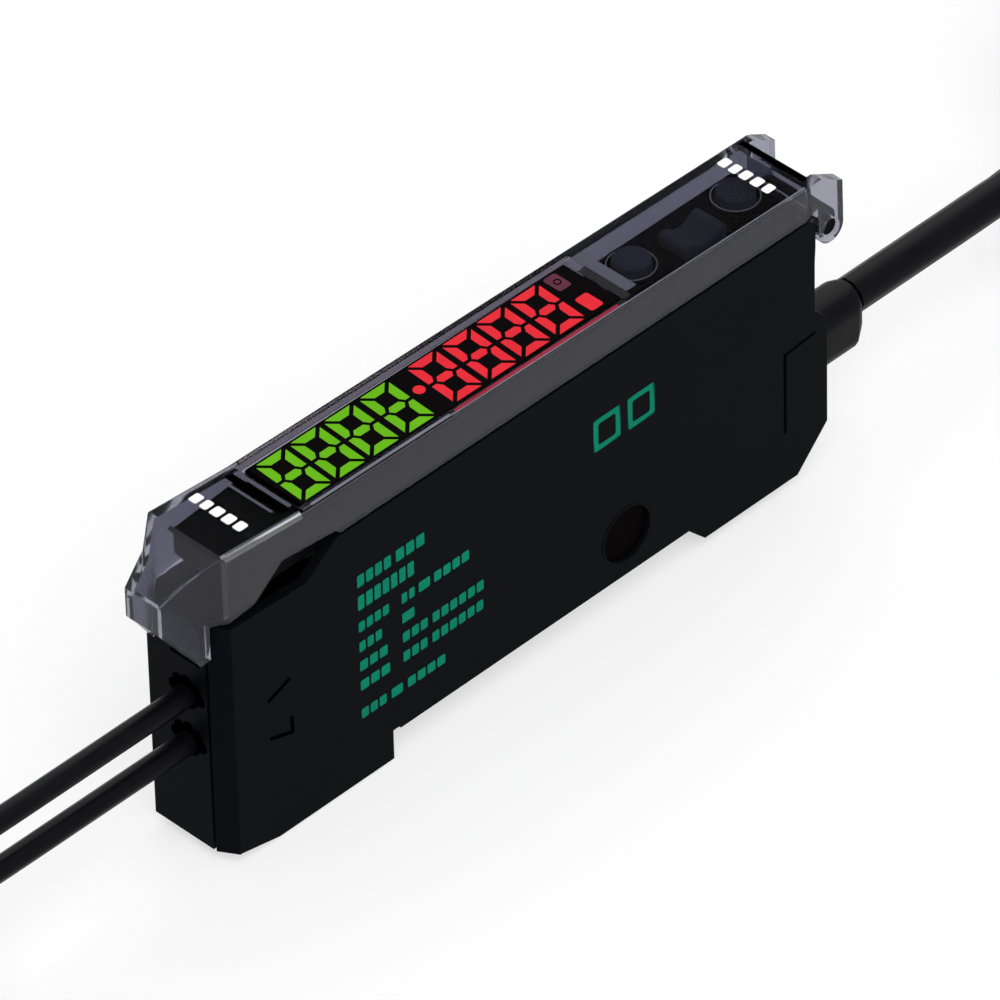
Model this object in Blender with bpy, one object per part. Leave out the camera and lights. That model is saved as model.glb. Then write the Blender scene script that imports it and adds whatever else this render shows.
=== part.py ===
"""Fibre optic sensor amplifier for a 35 mm rail, modelled piece by piece.

All sizes are written in millimetres. X runs along the length, from the fibre
end (-X) to the cable end (+X). The printed near side faces -Y, the display +Z.
Positions along X are counted from the fibre-end face of the housing, and one
empty, amplifier_frame, carries every piece and centres the finished amplifier.
"""

import math

import bmesh
import bpy
from mathutils import Matrix, Vector

MM = 0.001

# Overall body
BODY_WIDTH = 9.0
HALF_WIDTH = BODY_WIDTH / 2
BODY_LENGTH = 71.6
SEAM_HEIGHT = 27.7
GAP = 0.3

# Housing walls
SIDE_WALL = 1.0
END_WALL = 1.4
FLOOR_WALL = 1.2
PARTING_Y = -2.4

# Rail recess between the feet
RECESS_START = 19.0
RECESS_WIDTH = 35.5
RECESS_CEILING = 2.83
FOOT_SLOPE = 1.95
REAR_FOOT_RISE = 0.88
HOOK_RADIUS = 0.8
HOOK_REACH = 0.75
RELIEF_MARGIN = 0.1
RELIEF_DEPTH = 0.25

# Ends of the side outline
FRONT_CORNER_X = 1.03
FRONT_FLAT_X = 1.25
FRONT_RISE = 0.92
FRONT_RISE_LENGTH = 5.6
REAR_CHAMFER_X = 3.7
REAR_CHAMFER_Z = 3.85
REAR_STEP_Z = 16.2
REAR_STEP_DEPTH = 1.5
REAR_NECK_Z = 22.9
REAR_HEAD_GROWTH = 0.1
FRONT_SEAM_DROP = 2.2
FRONT_SEAM_START = 9.7
FRONT_SEAM_END = 13.2
LEVER_SLOT_HEIGHT = 20.3

# Light path: two fibres, one above the other
FIBRE_DIAMETER = 2.1
FIBRE_UPPER_Z = 16.45
FIBRE_PITCH = 5.1
FIBRE_LOWER_Z = FIBRE_UPPER_Z - FIBRE_PITCH
FIBRE_HOLE_RADIUS = FIBRE_DIAMETER / 2 + GAP
GUIDE_START = 2.1
GUIDE_LENGTH = 5.6
OPTICAL_BLOCK_LENGTH = 5.4
OPTICAL_MARGIN = 2.2
FIBRE_SEAT_DEPTH = 3.0
DIODE_RADIUS = 1.25
DIODE_LENGTH = 3.2

# Lock lever
LEVER_PIN_X = 0.95
LEVER_PIN_Z = 21.4
LEVER_PIN_RADIUS = 0.45
LEVER_PIN_SEAT = 0.4
LEVER_HUB_RADIUS = 0.95
LEVER_WIDTH = 2.9
LEVER_TIP_Z = 25.2
LEVER_SLOT_WIDTH = LEVER_WIDTH + 2 * GAP
LEVER_FACE_X = -1.25
LEVER_THICKNESS = 0.9

# Hinged cover
COVER_WALL = 0.7
COVER_TOP_FRONT = 33.25
COVER_TOP_BREAK_X = 9.6
COVER_TOP_BREAK = 32.55
COVER_TOP_REAR = 31.5
COVER_FRONT_X = 0.7
COVER_REAR_X = 70.3
COVER_EDGE = 0.5
NOSE_REACH = 4.5
NOSE_ROOT_X = -1.55
NOSE_ROOT_HALF = 2.75
NOSE_ROOT_Z = 31.45
NOSE_TIP_HALF = 1.9
NOSE_TIP_Z = 29.7
NOSE_BOTTOM_Z = 26.7
NOSE_LIP_Z = 22.0
NOSE_LIP_X = -1.1
GRIP_START = 3.9
CHEEK_REACH = 0.23
WINDOW_START = 10.4
WINDOW_END = 48.2
WINDOW_OPENING_WIDTH = 7.3
WINDOW_SLOPE = 0.5

# Hinge
HINGE_X = 72.1
HINGE_Z = 25.6
TRUNNION_RADIUS = 0.8
TRUNNION_CLEARANCE = 0.12
EAR_RADIUS = 1.5
EAR_THICKNESS = 1.15
EAR_TOP_Z = 30.0

# Display stack, from the top down
DISPLAY_TOP_DROP = 0.45
DISPLAY_TILT = -0.0107
WINDOW_THICKNESS = 0.9
WINDOW_WIDTH = WINDOW_OPENING_WIDTH - 2 * GAP
DIGIT_HEIGHT = 6.1
DIGIT_WIDTH = 2.9
DIGIT_SLANT = 0.35
DIGIT_STROKE = 0.72
SEGMENT_GAP = 0.16
SEGMENT_RISE = 0.25
DIGIT_PLATE = 0.35
DIGIT_MARGIN = 0.05
POCKET_CLEARANCE = 0.15
DIGIT_COUNT = 4
DIGIT_PITCH = 4.0
GREEN_FIRST_X = 12.85
RED_FIRST_X = 30.65
DOT_RADIUS = 0.62
LAMP_X = 46.0
LAMP_LENGTH = 1.2
LAMP_WIDTH = 1.9
LAMP_OFFSET = 1.75
LAMP_HEIGHT = 0.6

# Top bezel and keys
BEZEL_HALF = HALF_WIDTH - COVER_WALL - GAP
BEZEL_FRONT_X = 2.6
BEZEL_REAR_X = 68.9
BEZEL_KEY_DECK_Z = 29.3
KEY_CLEARANCE = 0.25
KEY_RADIUS = 1.75
KEY_RING_WIDTH = 0.45
KEY_RING_RISE = 0.35
KEY_TOP_Z = 30.4
SET_KEY_X = 53.4
MODE_KEY_X = 66.0
KEY_OFFSET_Y = 0.8
ROCKER_X = 59.9
ROCKER_LENGTH = 5.0
ROCKER_WIDTH = 3.4
ROCKER_AXIS_Z = 28.6
SWITCH_SIZE = 2.0
SWITCH_HEIGHT = 1.1
SWITCH_PLUNGER = 0.45

# Circuit boards
BOARD_THICKNESS = 1.0
MAIN_BOARD_Y = 1.4
MAIN_BOARD_END = 66.4
KEY_BOARD_TOP = 26.0
CHIP_HEIGHT = 0.9

# Link windows through both sides
LINK_X = 47.0
LINK_Z = 7.2
LINK_RADIUS = 2.75
LINK_RECESS = 0.35
LINK_DISC = 0.5

# Cable outlet
CABLE_DIAMETER = 3.5
CABLE_Z = 11.5
GLAND_HALF_WIDTH = 2.3
GLAND_TOP = 13.3
GLAND_BOTTOM = 7.0
GLAND_CORNER = 1.9
GLAND_LENGTH = 6.4
GLAND_NECK = 0.45
GLAND_TAPER = 0.9
FLANGE_THICKNESS = 0.8
FLANGE_MARGIN = 0.5

# Cords that lie free
CORD_FLOOR = 0.25
COIL_CORNER = 0.29
HANK_FLOOR = 0.75
FOLD_DIAMETERS = 3.0
CABLE_HANK_START = 126.15
CABLE_HANK_END = 178.65
CABLE_ROWS = 2
CABLE_LAYERS = 5
CABLE_TIE_X = 131.0
FIBRE_HANK_START = -48.85
FIBRE_HANK_END = -64.15
FIBRE_ROWS = 5
FIBRE_LAYERS = 4
FIBRE_TIE_X = -50.2
STRAP_WIDTH = 3.0
STRAP_THICKNESS = 0.3
STRAP_GAP = 0.2
CORE_DIAMETER = 1.0
CORE_START = 158.3
CORE_LENGTH = 20.0
EMITTER_HEAD_X = -64.0
RECEIVER_HEAD_Y = 1.6
RECEIVER_HEAD_OUT = 18.25
HEAD_LENGTH = 11.0
HEAD_RADIUS = 1.5
HEAD_COLLAR_RADIUS = 2.2
NUT_WIDTH = 5.5
NUT_THICKNESS = 1.8
THREAD_CLEARANCE = 0.05

REAR_END = BODY_LENGTH + FLANGE_THICKNESS + GLAND_LENGTH
CENTRE_X = (REAR_END - NOSE_REACH) / 2

COLOURS = {
    "black_plastic": ((0.014, 0.015, 0.019), 0.32, 0.0),
    "inner_plastic": ((0.030, 0.031, 0.036), 0.45, 0.0),
    "smoke_clear": ((0.20, 0.19, 0.24), 0.08, 0.0),
    "smoke_window": ((0.020, 0.012, 0.020), 0.06, 0.0),
    "green_light": ((0.19, 0.55, 0.03), 0.35, 0.0),
    "red_light": ((0.80, 0.03, 0.05), 0.35, 0.0),
    "dim_light": ((0.30, 0.09, 0.14), 0.35, 0.0),
    "key_rubber": ((0.060, 0.064, 0.075), 0.55, 0.0),
    "board_green": ((0.02, 0.14, 0.06), 0.50, 0.0),
    "steel": ((0.60, 0.60, 0.61), 0.28, 1.0),
    "clear_lens": ((0.75, 0.78, 0.80), 0.10, 0.0),
    "dark_lens": ((0.05, 0.02, 0.05), 0.12, 0.0),
    "cable_jacket": ((0.020, 0.020, 0.022), 0.50, 0.0),
    "core_brown": ((0.16, 0.06, 0.02), 0.50, 0.0),
    "core_blue": ((0.02, 0.06, 0.40), 0.50, 0.0),
    "core_black": ((0.02, 0.02, 0.02), 0.50, 0.0),
    "core_white": ((0.80, 0.80, 0.78), 0.50, 0.0),
}


def clear_scene():
    for old in list(bpy.data.objects):
        bpy.data.objects.remove(old, do_unlink=True)


def new_collection(name):
    found = bpy.data.collections.get(name)
    if found is None:
        found = bpy.data.collections.new(name)
        bpy.context.scene.collection.children.link(found)
    return found


clear_scene()
PARTS = new_collection("fibre_optic_sensor_amplifier")
CUTTERS = new_collection("amplifier_cutters")

frame_empty = bpy.data.objects.new("amplifier_frame", None)
frame_empty.location = (-CENTRE_X * MM, 0.0, 0.0)
PARTS.objects.link(frame_empty)


def material(name):
    found = bpy.data.materials.get(name)
    if found is not None:
        return found
    colour, roughness, metallic = COLOURS[name]
    made = bpy.data.materials.new(name)
    made.use_nodes = True
    shader = made.node_tree.nodes["Principled BSDF"]
    shader.inputs["Base Color"].default_value = (*colour, 1.0)
    shader.inputs["Roughness"].default_value = roughness
    shader.inputs["Metallic"].default_value = metallic
    made.diffuse_color = (*colour, 1.0)
    return made


def take(obj, collection):
    """Move a new object out of the active collection into the one given."""
    for holder in list(obj.users_collection):
        holder.objects.unlink(obj)
    collection.objects.link(obj)
    obj.parent = frame_empty
    return obj


def finish_part(obj, name, colour, smooth_angle=32.0):
    obj.name = name
    obj.data.name = name
    obj.data.materials.clear()
    obj.data.materials.append(material(colour))
    obj.data.shade_smooth()
    obj.data.set_sharp_from_angle(angle=math.radians(smooth_angle))
    return take(obj, PARTS)


def apply_scale(obj):
    obj.data.transform(Matrix.Diagonal((*obj.scale, 1.0)))
    obj.scale = (1.0, 1.0, 1.0)
    return obj


def block(x_range, y_range, z_range):
    """A box between two corners, placed by its centre."""
    low = Vector((x_range[0], y_range[0], z_range[0]))
    high = Vector((x_range[1], y_range[1], z_range[1]))
    bpy.ops.mesh.primitive_cube_add(size=1.0, location=(low + high) / 2 * MM)
    obj = bpy.context.object
    obj.scale = (high - low) * MM
    return apply_scale(obj)


def rod(axis, radius, start, end, centre, sides=24):
    """A cylinder along X, Y or Z from start to end, about a centre in the other two."""
    middle = (start + end) / 2
    places = {
        "X": ((middle, centre[0], centre[1]), (0.0, math.pi / 2, 0.0)),
        "Y": ((centre[0], middle, centre[1]), (math.pi / 2, 0.0, 0.0)),
        "Z": ((centre[0], centre[1], middle), (0.0, 0.0, 0.0)),
    }
    place, turn = places[axis]
    bpy.ops.mesh.primitive_cylinder_add(
        vertices=sides, radius=radius * MM, depth=abs(end - start) * MM,
        location=Vector(place) * MM, rotation=turn)
    return bpy.context.object


def mesh_of_curve(curve_obj):
    """Make a curve object a closed mesh, with its loose caps welded and each flat face in one piece."""
    bpy.context.view_layer.update()
    graph = bpy.context.evaluated_depsgraph_get()
    mesh = bpy.data.meshes.new_from_object(curve_obj.evaluated_get(graph))
    soft = bmesh.new()
    soft.from_mesh(mesh)
    bmesh.ops.remove_doubles(soft, verts=soft.verts, dist=1e-7)
    bmesh.ops.dissolve_limit(soft, angle_limit=math.radians(0.2), verts=soft.verts, edges=soft.edges)
    bmesh.ops.recalc_face_normals(soft, faces=soft.faces)
    soft.to_mesh(mesh)
    soft.free()
    solid = bpy.data.objects.new(curve_obj.name + "_mesh", mesh)
    solid.matrix_world = curve_obj.matrix_world.copy()
    bpy.context.scene.collection.objects.link(solid)
    bpy.data.objects.remove(curve_obj, do_unlink=True)
    return solid


def plate(points, low, high, across="Y"):
    """A flat outline given thickness: in X and Z across Y, in Y and Z across X,
    or in X and Y across Z."""
    curve = bpy.data.curves.new("outline", "CURVE")
    curve.dimensions = "2D"
    curve.fill_mode = "BOTH"
    curve.extrude = (high - low) / 2 * MM
    spline = curve.splines.new("POLY")
    spline.points.add(len(points) - 1)
    for point, (first, second) in zip(spline.points, points):
        point.co = (first * MM, second * MM, 0.0, 1.0)
    spline.use_cyclic_u = True
    obj = bpy.data.objects.new("outline", curve)
    bpy.context.scene.collection.objects.link(obj)
    middle = (low + high) / 2 * MM
    if across == "Y":
        obj.matrix_world = Matrix.Translation((0, middle, 0)) @ Matrix.Rotation(math.pi / 2, 4, "X")
    elif across == "X":
        turn = Matrix(((0, 0, 1, 0), (1, 0, 0, 0), (0, 1, 0, 0), (0, 0, 0, 1)))
        obj.matrix_world = Matrix.Translation((middle, 0, 0)) @ turn
    else:
        obj.matrix_world = Matrix.Translation((0, 0, middle))
    return mesh_of_curve(obj)


def hull(points):
    """The convex solid around a few corner points."""
    soft = bmesh.new()
    for point in points:
        soft.verts.new(Vector(point) * MM)
    bmesh.ops.convex_hull(soft, input=soft.verts, use_existing_faces=False)
    bmesh.ops.dissolve_limit(soft, angle_limit=math.radians(0.5), verts=soft.verts, edges=soft.edges)
    bmesh.ops.recalc_face_normals(soft, faces=soft.faces)
    mesh = bpy.data.meshes.new("hull")
    soft.to_mesh(mesh)
    soft.free()
    obj = bpy.data.objects.new("hull", mesh)
    bpy.context.scene.collection.objects.link(obj)
    return obj


def soften(obj, width, test, segments=2):
    """Bevel the corner edges whose two ends both pass the test, given in millimetres."""
    soft = bmesh.new()
    soft.from_mesh(obj.data)
    place = obj.matrix_basis
    edges = []
    for edge in soft.edges:
        ends = [place @ vert.co / MM for vert in edge.verts]
        if edge.calc_face_angle(0.0) > math.radians(8.0) and test(*ends):
            edges.append(edge)
    bmesh.ops.bevel(soft, geom=edges, offset=width * MM, segments=segments, affect="EDGES", profile=0.5)
    soft.to_mesh(obj.data)
    soft.free()
    return obj


def change(obj, other, operation):
    """Cut, join or intersect with another solid, kept as a wire helper."""
    take(other, CUTTERS)
    other.hide_render = True
    other.display_type = "WIRE"
    other.name = f"{operation.lower()}_helper"
    step = obj.modifiers.new(operation.title(), "BOOLEAN")
    step.operation = operation
    step.object = other
    step.solver = "EXACT"
    return obj


def cut(obj, *others):
    for other in others:
        change(obj, other, "DIFFERENCE")
    return obj


def add(obj, *others):
    for other in others:
        change(obj, other, "UNION")
    return obj


def cover_top(x, drop=0.0):
    """Height of the cover's top along its length."""
    if x <= COVER_TOP_BREAK_X:
        share = (x - COVER_FRONT_X) / (COVER_TOP_BREAK_X - COVER_FRONT_X)
        return COVER_TOP_FRONT + share * (COVER_TOP_BREAK - COVER_TOP_FRONT) - drop
    share = (x - COVER_TOP_BREAK_X) / (COVER_REAR_X - COVER_TOP_BREAK_X)
    return COVER_TOP_BREAK + share * (COVER_TOP_REAR - COVER_TOP_BREAK) - drop


def display_height(x):
    """Height of the display window's top face, which tilts slightly to the rear."""
    start = cover_top(WINDOW_START) - DISPLAY_TOP_DROP
    return start + DISPLAY_TILT * (x - WINDOW_START)


def side_outline():
    """The amplifier's outline from the side, walked round from the front foot."""
    recess_end = RECESS_START + RECESS_WIDTH
    relief_end = RECESS_START + HOOK_REACH + RELIEF_MARGIN
    relief_top = RECESS_CEILING + RELIEF_DEPTH
    neck = BODY_LENGTH - REAR_STEP_DEPTH
    head = neck + REAR_HEAD_GROWTH
    return [
        (0.0, FRONT_RISE),
        (FRONT_FLAT_X, FRONT_RISE),
        (FRONT_RISE_LENGTH, 0.0),
        (RECESS_START, 0.0),
        (RECESS_START, relief_top),
        (relief_end, relief_top),
        (relief_end, RECESS_CEILING),
        (recess_end, RECESS_CEILING),
        (recess_end + FOOT_SLOPE, REAR_FOOT_RISE),
        (BODY_LENGTH - REAR_CHAMFER_X, REAR_FOOT_RISE),
        (BODY_LENGTH, REAR_FOOT_RISE + REAR_CHAMFER_Z),
        (BODY_LENGTH, REAR_STEP_Z),
        (neck, REAR_STEP_Z + REAR_STEP_DEPTH),
        (neck, REAR_NECK_Z),
        (head, REAR_NECK_Z + 1.7),
        (head, SEAM_HEIGHT - 0.6),
        (neck - 0.9, SEAM_HEIGHT),
        (FRONT_SEAM_END, SEAM_HEIGHT),
        (FRONT_SEAM_START, SEAM_HEIGHT - FRONT_SEAM_DROP - 0.4),
        (0.0, SEAM_HEIGHT - FRONT_SEAM_DROP),
    ]


def cavity_outline():
    """The hollow inside the housing, open at the top under the bezel."""
    recess_end = RECESS_START + RECESS_WIDTH
    ceiling = RECESS_CEILING + FLOOR_WALL
    rear = BODY_LENGTH - REAR_STEP_DEPTH - END_WALL
    above = SEAM_HEIGHT + 1.0
    return [
        (END_WALL, FRONT_RISE + FLOOR_WALL),
        (RECESS_START - END_WALL, FRONT_RISE + FLOOR_WALL),
        (RECESS_START - END_WALL, ceiling),
        (recess_end + END_WALL, ceiling),
        (recess_end + END_WALL + FOOT_SLOPE, REAR_FOOT_RISE + FLOOR_WALL),
        (BODY_LENGTH - REAR_CHAMFER_X - END_WALL, REAR_FOOT_RISE + FLOOR_WALL),
        (rear, REAR_FOOT_RISE + REAR_CHAMFER_Z),
        (rear, above),
        (END_WALL, above),
    ]


def rounded_rectangle(half, low, high, corner, steps=5):
    """Corner points of a rounded rectangle in Y and Z."""
    points = []
    centres = ((half - corner, high - corner, 0), (corner - half, high - corner, 1),
               (corner - half, low + corner, 2), (half - corner, low + corner, 3))
    for centre_y, centre_z, quarter in centres:
        for step in range(steps + 1):
            angle = (quarter + step / steps) * math.pi / 2
            points.append((centre_y + corner * math.cos(angle), centre_z + corner * math.sin(angle)))
    return points


def make_base_housing():
    """The tub: the far wall, the rim, both feet and the hinge boss."""
    tub = plate(side_outline(), PARTING_Y, HALF_WIDTH)
    hollow = plate(cavity_outline(), PARTING_Y - 1.0, HALF_WIDTH - SIDE_WALL)
    cut(tub, hollow)
    rear_foot = block((RECESS_START + RECESS_WIDTH + FOOT_SLOPE + 1.0, BODY_LENGTH - REAR_CHAMFER_X - 1.0),
                      (PARTING_Y + 0.8, HALF_WIDTH - 0.6), (0.0, REAR_FOOT_RISE + 0.6))
    hook = rod("Y", HOOK_RADIUS, PARTING_Y + 0.6, HALF_WIDTH - 0.8,
               (RECESS_START + HOOK_REACH - HOOK_RADIUS, RECESS_CEILING - HOOK_RADIUS - GAP), 16)
    boss = rod("Y", EAR_RADIUS, -HALF_WIDTH + EAR_THICKNESS + GAP, HALF_WIDTH - EAR_THICKNESS - GAP,
               (HINGE_X, HINGE_Z))
    web = block((BODY_LENGTH - REAR_STEP_DEPTH - 0.8, HINGE_X - 0.2),
                (PARTING_Y + 0.4, HALF_WIDTH - EAR_THICKNESS - 2 * GAP),
                (HINGE_Z - EAR_RADIUS + 0.1, HINGE_Z + 0.45))
    trunnion = rod("Y", TRUNNION_RADIUS, -HALF_WIDTH + 0.25, HALF_WIDTH - 0.25, (HINGE_X, HINGE_Z))
    add(tub, rear_foot, hook, web, boss, trunnion)
    half_slot = LEVER_SLOT_WIDTH / 2
    slot = block((-1.0, END_WALL + 1.0), (-half_slot, half_slot), (LEVER_SLOT_HEIGHT, SEAM_HEIGHT + 1.0))
    cut(tub, slot)
    for height in (FIBRE_UPPER_Z, FIBRE_LOWER_Z):
        cut(tub, rod("X", FIBRE_HOLE_RADIUS, -1.0, END_WALL + 1.0, (0.0, height)))
    cable_way = plate(rounded_rectangle(GLAND_HALF_WIDTH - GLAND_NECK + GAP, GLAND_BOTTOM + GLAND_NECK - GAP,
                                        GLAND_TOP - GLAND_NECK + GAP, GLAND_CORNER - GLAND_NECK + GAP),
                      BODY_LENGTH - REAR_STEP_DEPTH - END_WALL - 1.0, BODY_LENGTH + 1.0, "X")
    cut(tub, cable_way)
    cut(tub, rod("Y", LINK_RADIUS, HALF_WIDTH - SIDE_WALL - 1.0, HALF_WIDTH + 1.0, (LINK_X, LINK_Z), 32))
    pin_half = LEVER_SLOT_WIDTH / 2 + LEVER_PIN_SEAT + 0.05
    cut(tub, rod("Y", LEVER_PIN_RADIUS + 0.05, -pin_half, pin_half, (LEVER_PIN_X, LEVER_PIN_Z), 16))
    return finish_part(tub, "base_housing", "black_plastic")


def make_side_cover():
    """The near shell: the printed side, its rim, the slanted front corner and the latch groove."""
    front_y = PARTING_Y - GAP
    shell = plate(side_outline(), -HALF_WIDTH, front_y)
    corner = plate([(-1.0, front_y + 1.0), (-0.15, front_y + 0.16), (FRONT_CORNER_X, -HALF_WIDTH),
                    (FRONT_CORNER_X, -HALF_WIDTH - 1.0), (-1.0, -HALF_WIDTH - 1.0)],
                   -1.0, SEAM_HEIGHT + 1.0, "Z")
    cut(shell, corner)
    cut(shell, plate(cavity_outline(), -HALF_WIDTH + SIDE_WALL, front_y + 1.0))
    cut(shell, rod("Y", LINK_RADIUS, -HALF_WIDTH - 1.0, front_y + 1.0, (LINK_X, LINK_Z), 32))
    arm_x = BODY_LENGTH - 5.4
    groove_depth = 0.35
    groove = plate([(BODY_LENGTH - 1.5, 15.5), (arm_x, 15.2), (arm_x, 6.4), (arm_x + 0.35, 6.4),
                    (arm_x + 0.35, 14.9), (BODY_LENGTH - 1.5, 15.15)],
                   -HALF_WIDTH - 1.0, -HALF_WIDTH + groove_depth)
    cut(shell, groove)
    return finish_part(shell, "side_cover", "black_plastic")


def arc(centre, radius, first, last, steps):
    """Points on an arc, with its angles in degrees."""
    points = []
    for step in range(steps + 1):
        angle = math.radians(first + (last - first) * step / steps)
        points.append((centre[0] + radius * math.cos(angle), centre[1] + radius * math.sin(angle)))
    return points


def cover_outline():
    """Side view of the clear cover, walked from the nose along its lower edge and back over the top."""
    seam = SEAM_HEIGHT + GAP
    front_seam = SEAM_HEIGHT - FRONT_SEAM_DROP + 2 * GAP
    lower = [
        (-NOSE_REACH, NOSE_BOTTOM_Z),
        (NOSE_LIP_X, NOSE_LIP_Z), (-0.4, NOSE_LIP_Z + 0.6), (-0.4, front_seam),
        (GRIP_START, front_seam + 0.4), (GRIP_START + 3.2, front_seam + 3.0), (FRONT_SEAM_END, seam + 0.5),
        (FRONT_SEAM_END + 0.5, seam), (COVER_REAR_X - 1.4, seam), (COVER_REAR_X + 0.15, seam + 0.6),
    ]
    ear = arc((HINGE_X, HINGE_Z), EAR_RADIUS, -190, 0, 14)
    upper = [
        (HINGE_X + EAR_RADIUS - 0.1, EAR_TOP_Z),
        (COVER_REAR_X + 0.5, cover_top(COVER_REAR_X)),
        (COVER_TOP_BREAK_X, cover_top(COVER_TOP_BREAK_X)),
        (COVER_FRONT_X, cover_top(COVER_FRONT_X)),
        (NOSE_ROOT_X, NOSE_ROOT_Z),
        (-NOSE_REACH, NOSE_TIP_Z),
    ]
    return lower + ear + upper


def cover_hollow_outline():
    """Side view of the space inside the cover, open downwards."""
    wall = COVER_WALL
    open_z = NOSE_LIP_Z - 2.0
    rear = COVER_REAR_X - wall
    return [
        (-NOSE_REACH + wall, open_z), (rear, open_z), (rear, cover_top(COVER_REAR_X, wall)),
        (COVER_TOP_BREAK_X, cover_top(COVER_TOP_BREAK_X, wall)),
        (COVER_FRONT_X, cover_top(COVER_FRONT_X, wall)),
        (NOSE_ROOT_X + wall * 0.3, NOSE_ROOT_Z - wall), (-NOSE_REACH + wall, NOSE_TIP_Z - wall * 0.7),
    ]


def cheek_cutters(inset):
    """What the slanted cheeks leave off the nose on each side, seen from above."""
    past = 0.4
    meet_x = COVER_FRONT_X + CHEEK_REACH
    slope = (HALF_WIDTH - NOSE_ROOT_HALF) / (meet_x - NOSE_ROOT_X)
    cutters = []
    for side in (-1, 1):
        line = [
            (meet_x + past, HALF_WIDTH + slope * past - inset),
            (NOSE_ROOT_X, NOSE_ROOT_HALF - inset),
            (-NOSE_REACH - past, NOSE_TIP_HALF - 0.1 - inset),
            (-NOSE_REACH - past, HALF_WIDTH + 1.5),
            (meet_x + past, HALF_WIDTH + 1.5),
        ]
        cutters.append(plate([(x, side * y) for x, y in line], NOSE_LIP_Z - 3.0, COVER_TOP_FRONT + 1.0, "Z"))
    return cutters


def make_hinged_cover():
    """The clear cover: a thin shell with a nose, a display opening and two hinge ears."""
    shell = plate(cover_outline(), -HALF_WIDTH, HALF_WIDTH)

    def top_edge(first, second):
        level = all(abs(abs(end.y) - HALF_WIDTH) < 0.01 and end.z > 31.0 for end in (first, second))
        return level and first.x > 0.0 and second.x > 0.0 and abs(first.x - second.x) > 1.0

    soften(shell, COVER_EDGE, top_edge, 2)
    cut(shell, *cheek_cutters(0.0))
    ear_inner = HALF_WIDTH - EAR_THICKNESS
    between_ears = block((COVER_REAR_X, HINGE_X + 3.0), (-ear_inner, ear_inner),
                         (HINGE_Z - 3.0, COVER_TOP_FRONT))
    cut(shell, between_ears)
    inner_half = HALF_WIDTH - COVER_WALL
    hollow = plate(cover_hollow_outline(), -inner_half, inner_half)
    cut(hollow, *cheek_cutters(COVER_WALL))
    cut(shell, hollow)
    half = WINDOW_OPENING_WIDTH / 2
    low = SEAM_HEIGHT + 1.0
    past = 1.0
    ends = []
    for x, way in ((WINDOW_END, 1), (WINDOW_START, -1)):
        top = cover_top(x)
        edge = [(x, low), (x, top - WINDOW_SLOPE), (x + way * (WINDOW_SLOPE + past), top + past)]
        ends += edge if way > 0 else edge[::-1]
    cut(shell, plate(ends, -half, half))
    cut(shell, rod("Y", TRUNNION_RADIUS + TRUNNION_CLEARANCE, -HALF_WIDTH - 1.0, HALF_WIDTH + 1.0,
                   (HINGE_X, HINGE_Z)))
    return finish_part(shell, "hinged_cover", "smoke_clear")


def make_top_bezel():
    """The black top frame: a front plate, a pocket for the display and a deck with key wells."""
    deck = KEY_BOARD_TOP + 0.7
    rear = BODY_LENGTH - REAR_STEP_DEPTH - END_WALL - GAP
    half = BEZEL_HALF
    front_top = cover_top(COVER_TOP_BREAK_X, COVER_WALL + 2 * GAP)
    display_end = WINDOW_END + 0.6
    pocket_floor = display_height(WINDOW_END) - WINDOW_THICKNESS - DIGIT_PLATE - SEGMENT_RISE - 2 * GAP
    outline = [
        (BEZEL_FRONT_X, SEAM_HEIGHT + 0.3), (END_WALL + 2.0, deck), (rear, deck),
        (rear, SEAM_HEIGHT), (BEZEL_REAR_X - 0.4, BEZEL_KEY_DECK_Z),
        (display_end + 0.3, BEZEL_KEY_DECK_Z), (display_end, BEZEL_KEY_DECK_Z + 0.3),
        (display_end, display_height(display_end) - WINDOW_THICKNESS), (WINDOW_START - 0.4, front_top),
        (WINDOW_START - 1.2, front_top), (BEZEL_FRONT_X, front_top - 0.6),
    ]
    frame = plate(outline, -half, half)
    window_low = display_height(WINDOW_END) - WINDOW_THICKNESS
    pocket_half = DIGIT_HEIGHT / 2 + DIGIT_MARGIN + POCKET_CLEARANCE
    cut(frame, block((WINDOW_START - 0.1, WINDOW_END + 0.1), (-pocket_half, pocket_half),
                     (pocket_floor, COVER_TOP_FRONT)))
    cut(frame, block((WINDOW_START - 0.25, WINDOW_END + 0.25), (-half - 1.0, half + 1.0),
                     (window_low - GAP, COVER_TOP_FRONT)))
    for key_x in (SET_KEY_X, MODE_KEY_X):
        centre = (key_x, KEY_OFFSET_Y)
        ring = rod("Z", KEY_RADIUS + KEY_CLEARANCE + KEY_RING_WIDTH, BEZEL_KEY_DECK_Z - 0.4,
                   BEZEL_KEY_DECK_Z + KEY_RING_RISE, centre, 32)
        add(frame, ring)
        cut(frame, rod("Z", KEY_RADIUS + KEY_CLEARANCE, deck - 1.0, COVER_TOP_FRONT, centre, 32))
    well_length = ROCKER_LENGTH / 2 + KEY_CLEARANCE
    well_width = ROCKER_WIDTH / 2 + KEY_CLEARANCE
    cut(frame, block((ROCKER_X - well_length, ROCKER_X + well_length), (-well_width, well_width),
                     (deck - 1.0, COVER_TOP_FRONT)))
    return finish_part(frame, "top_bezel", "inner_plastic")


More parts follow.
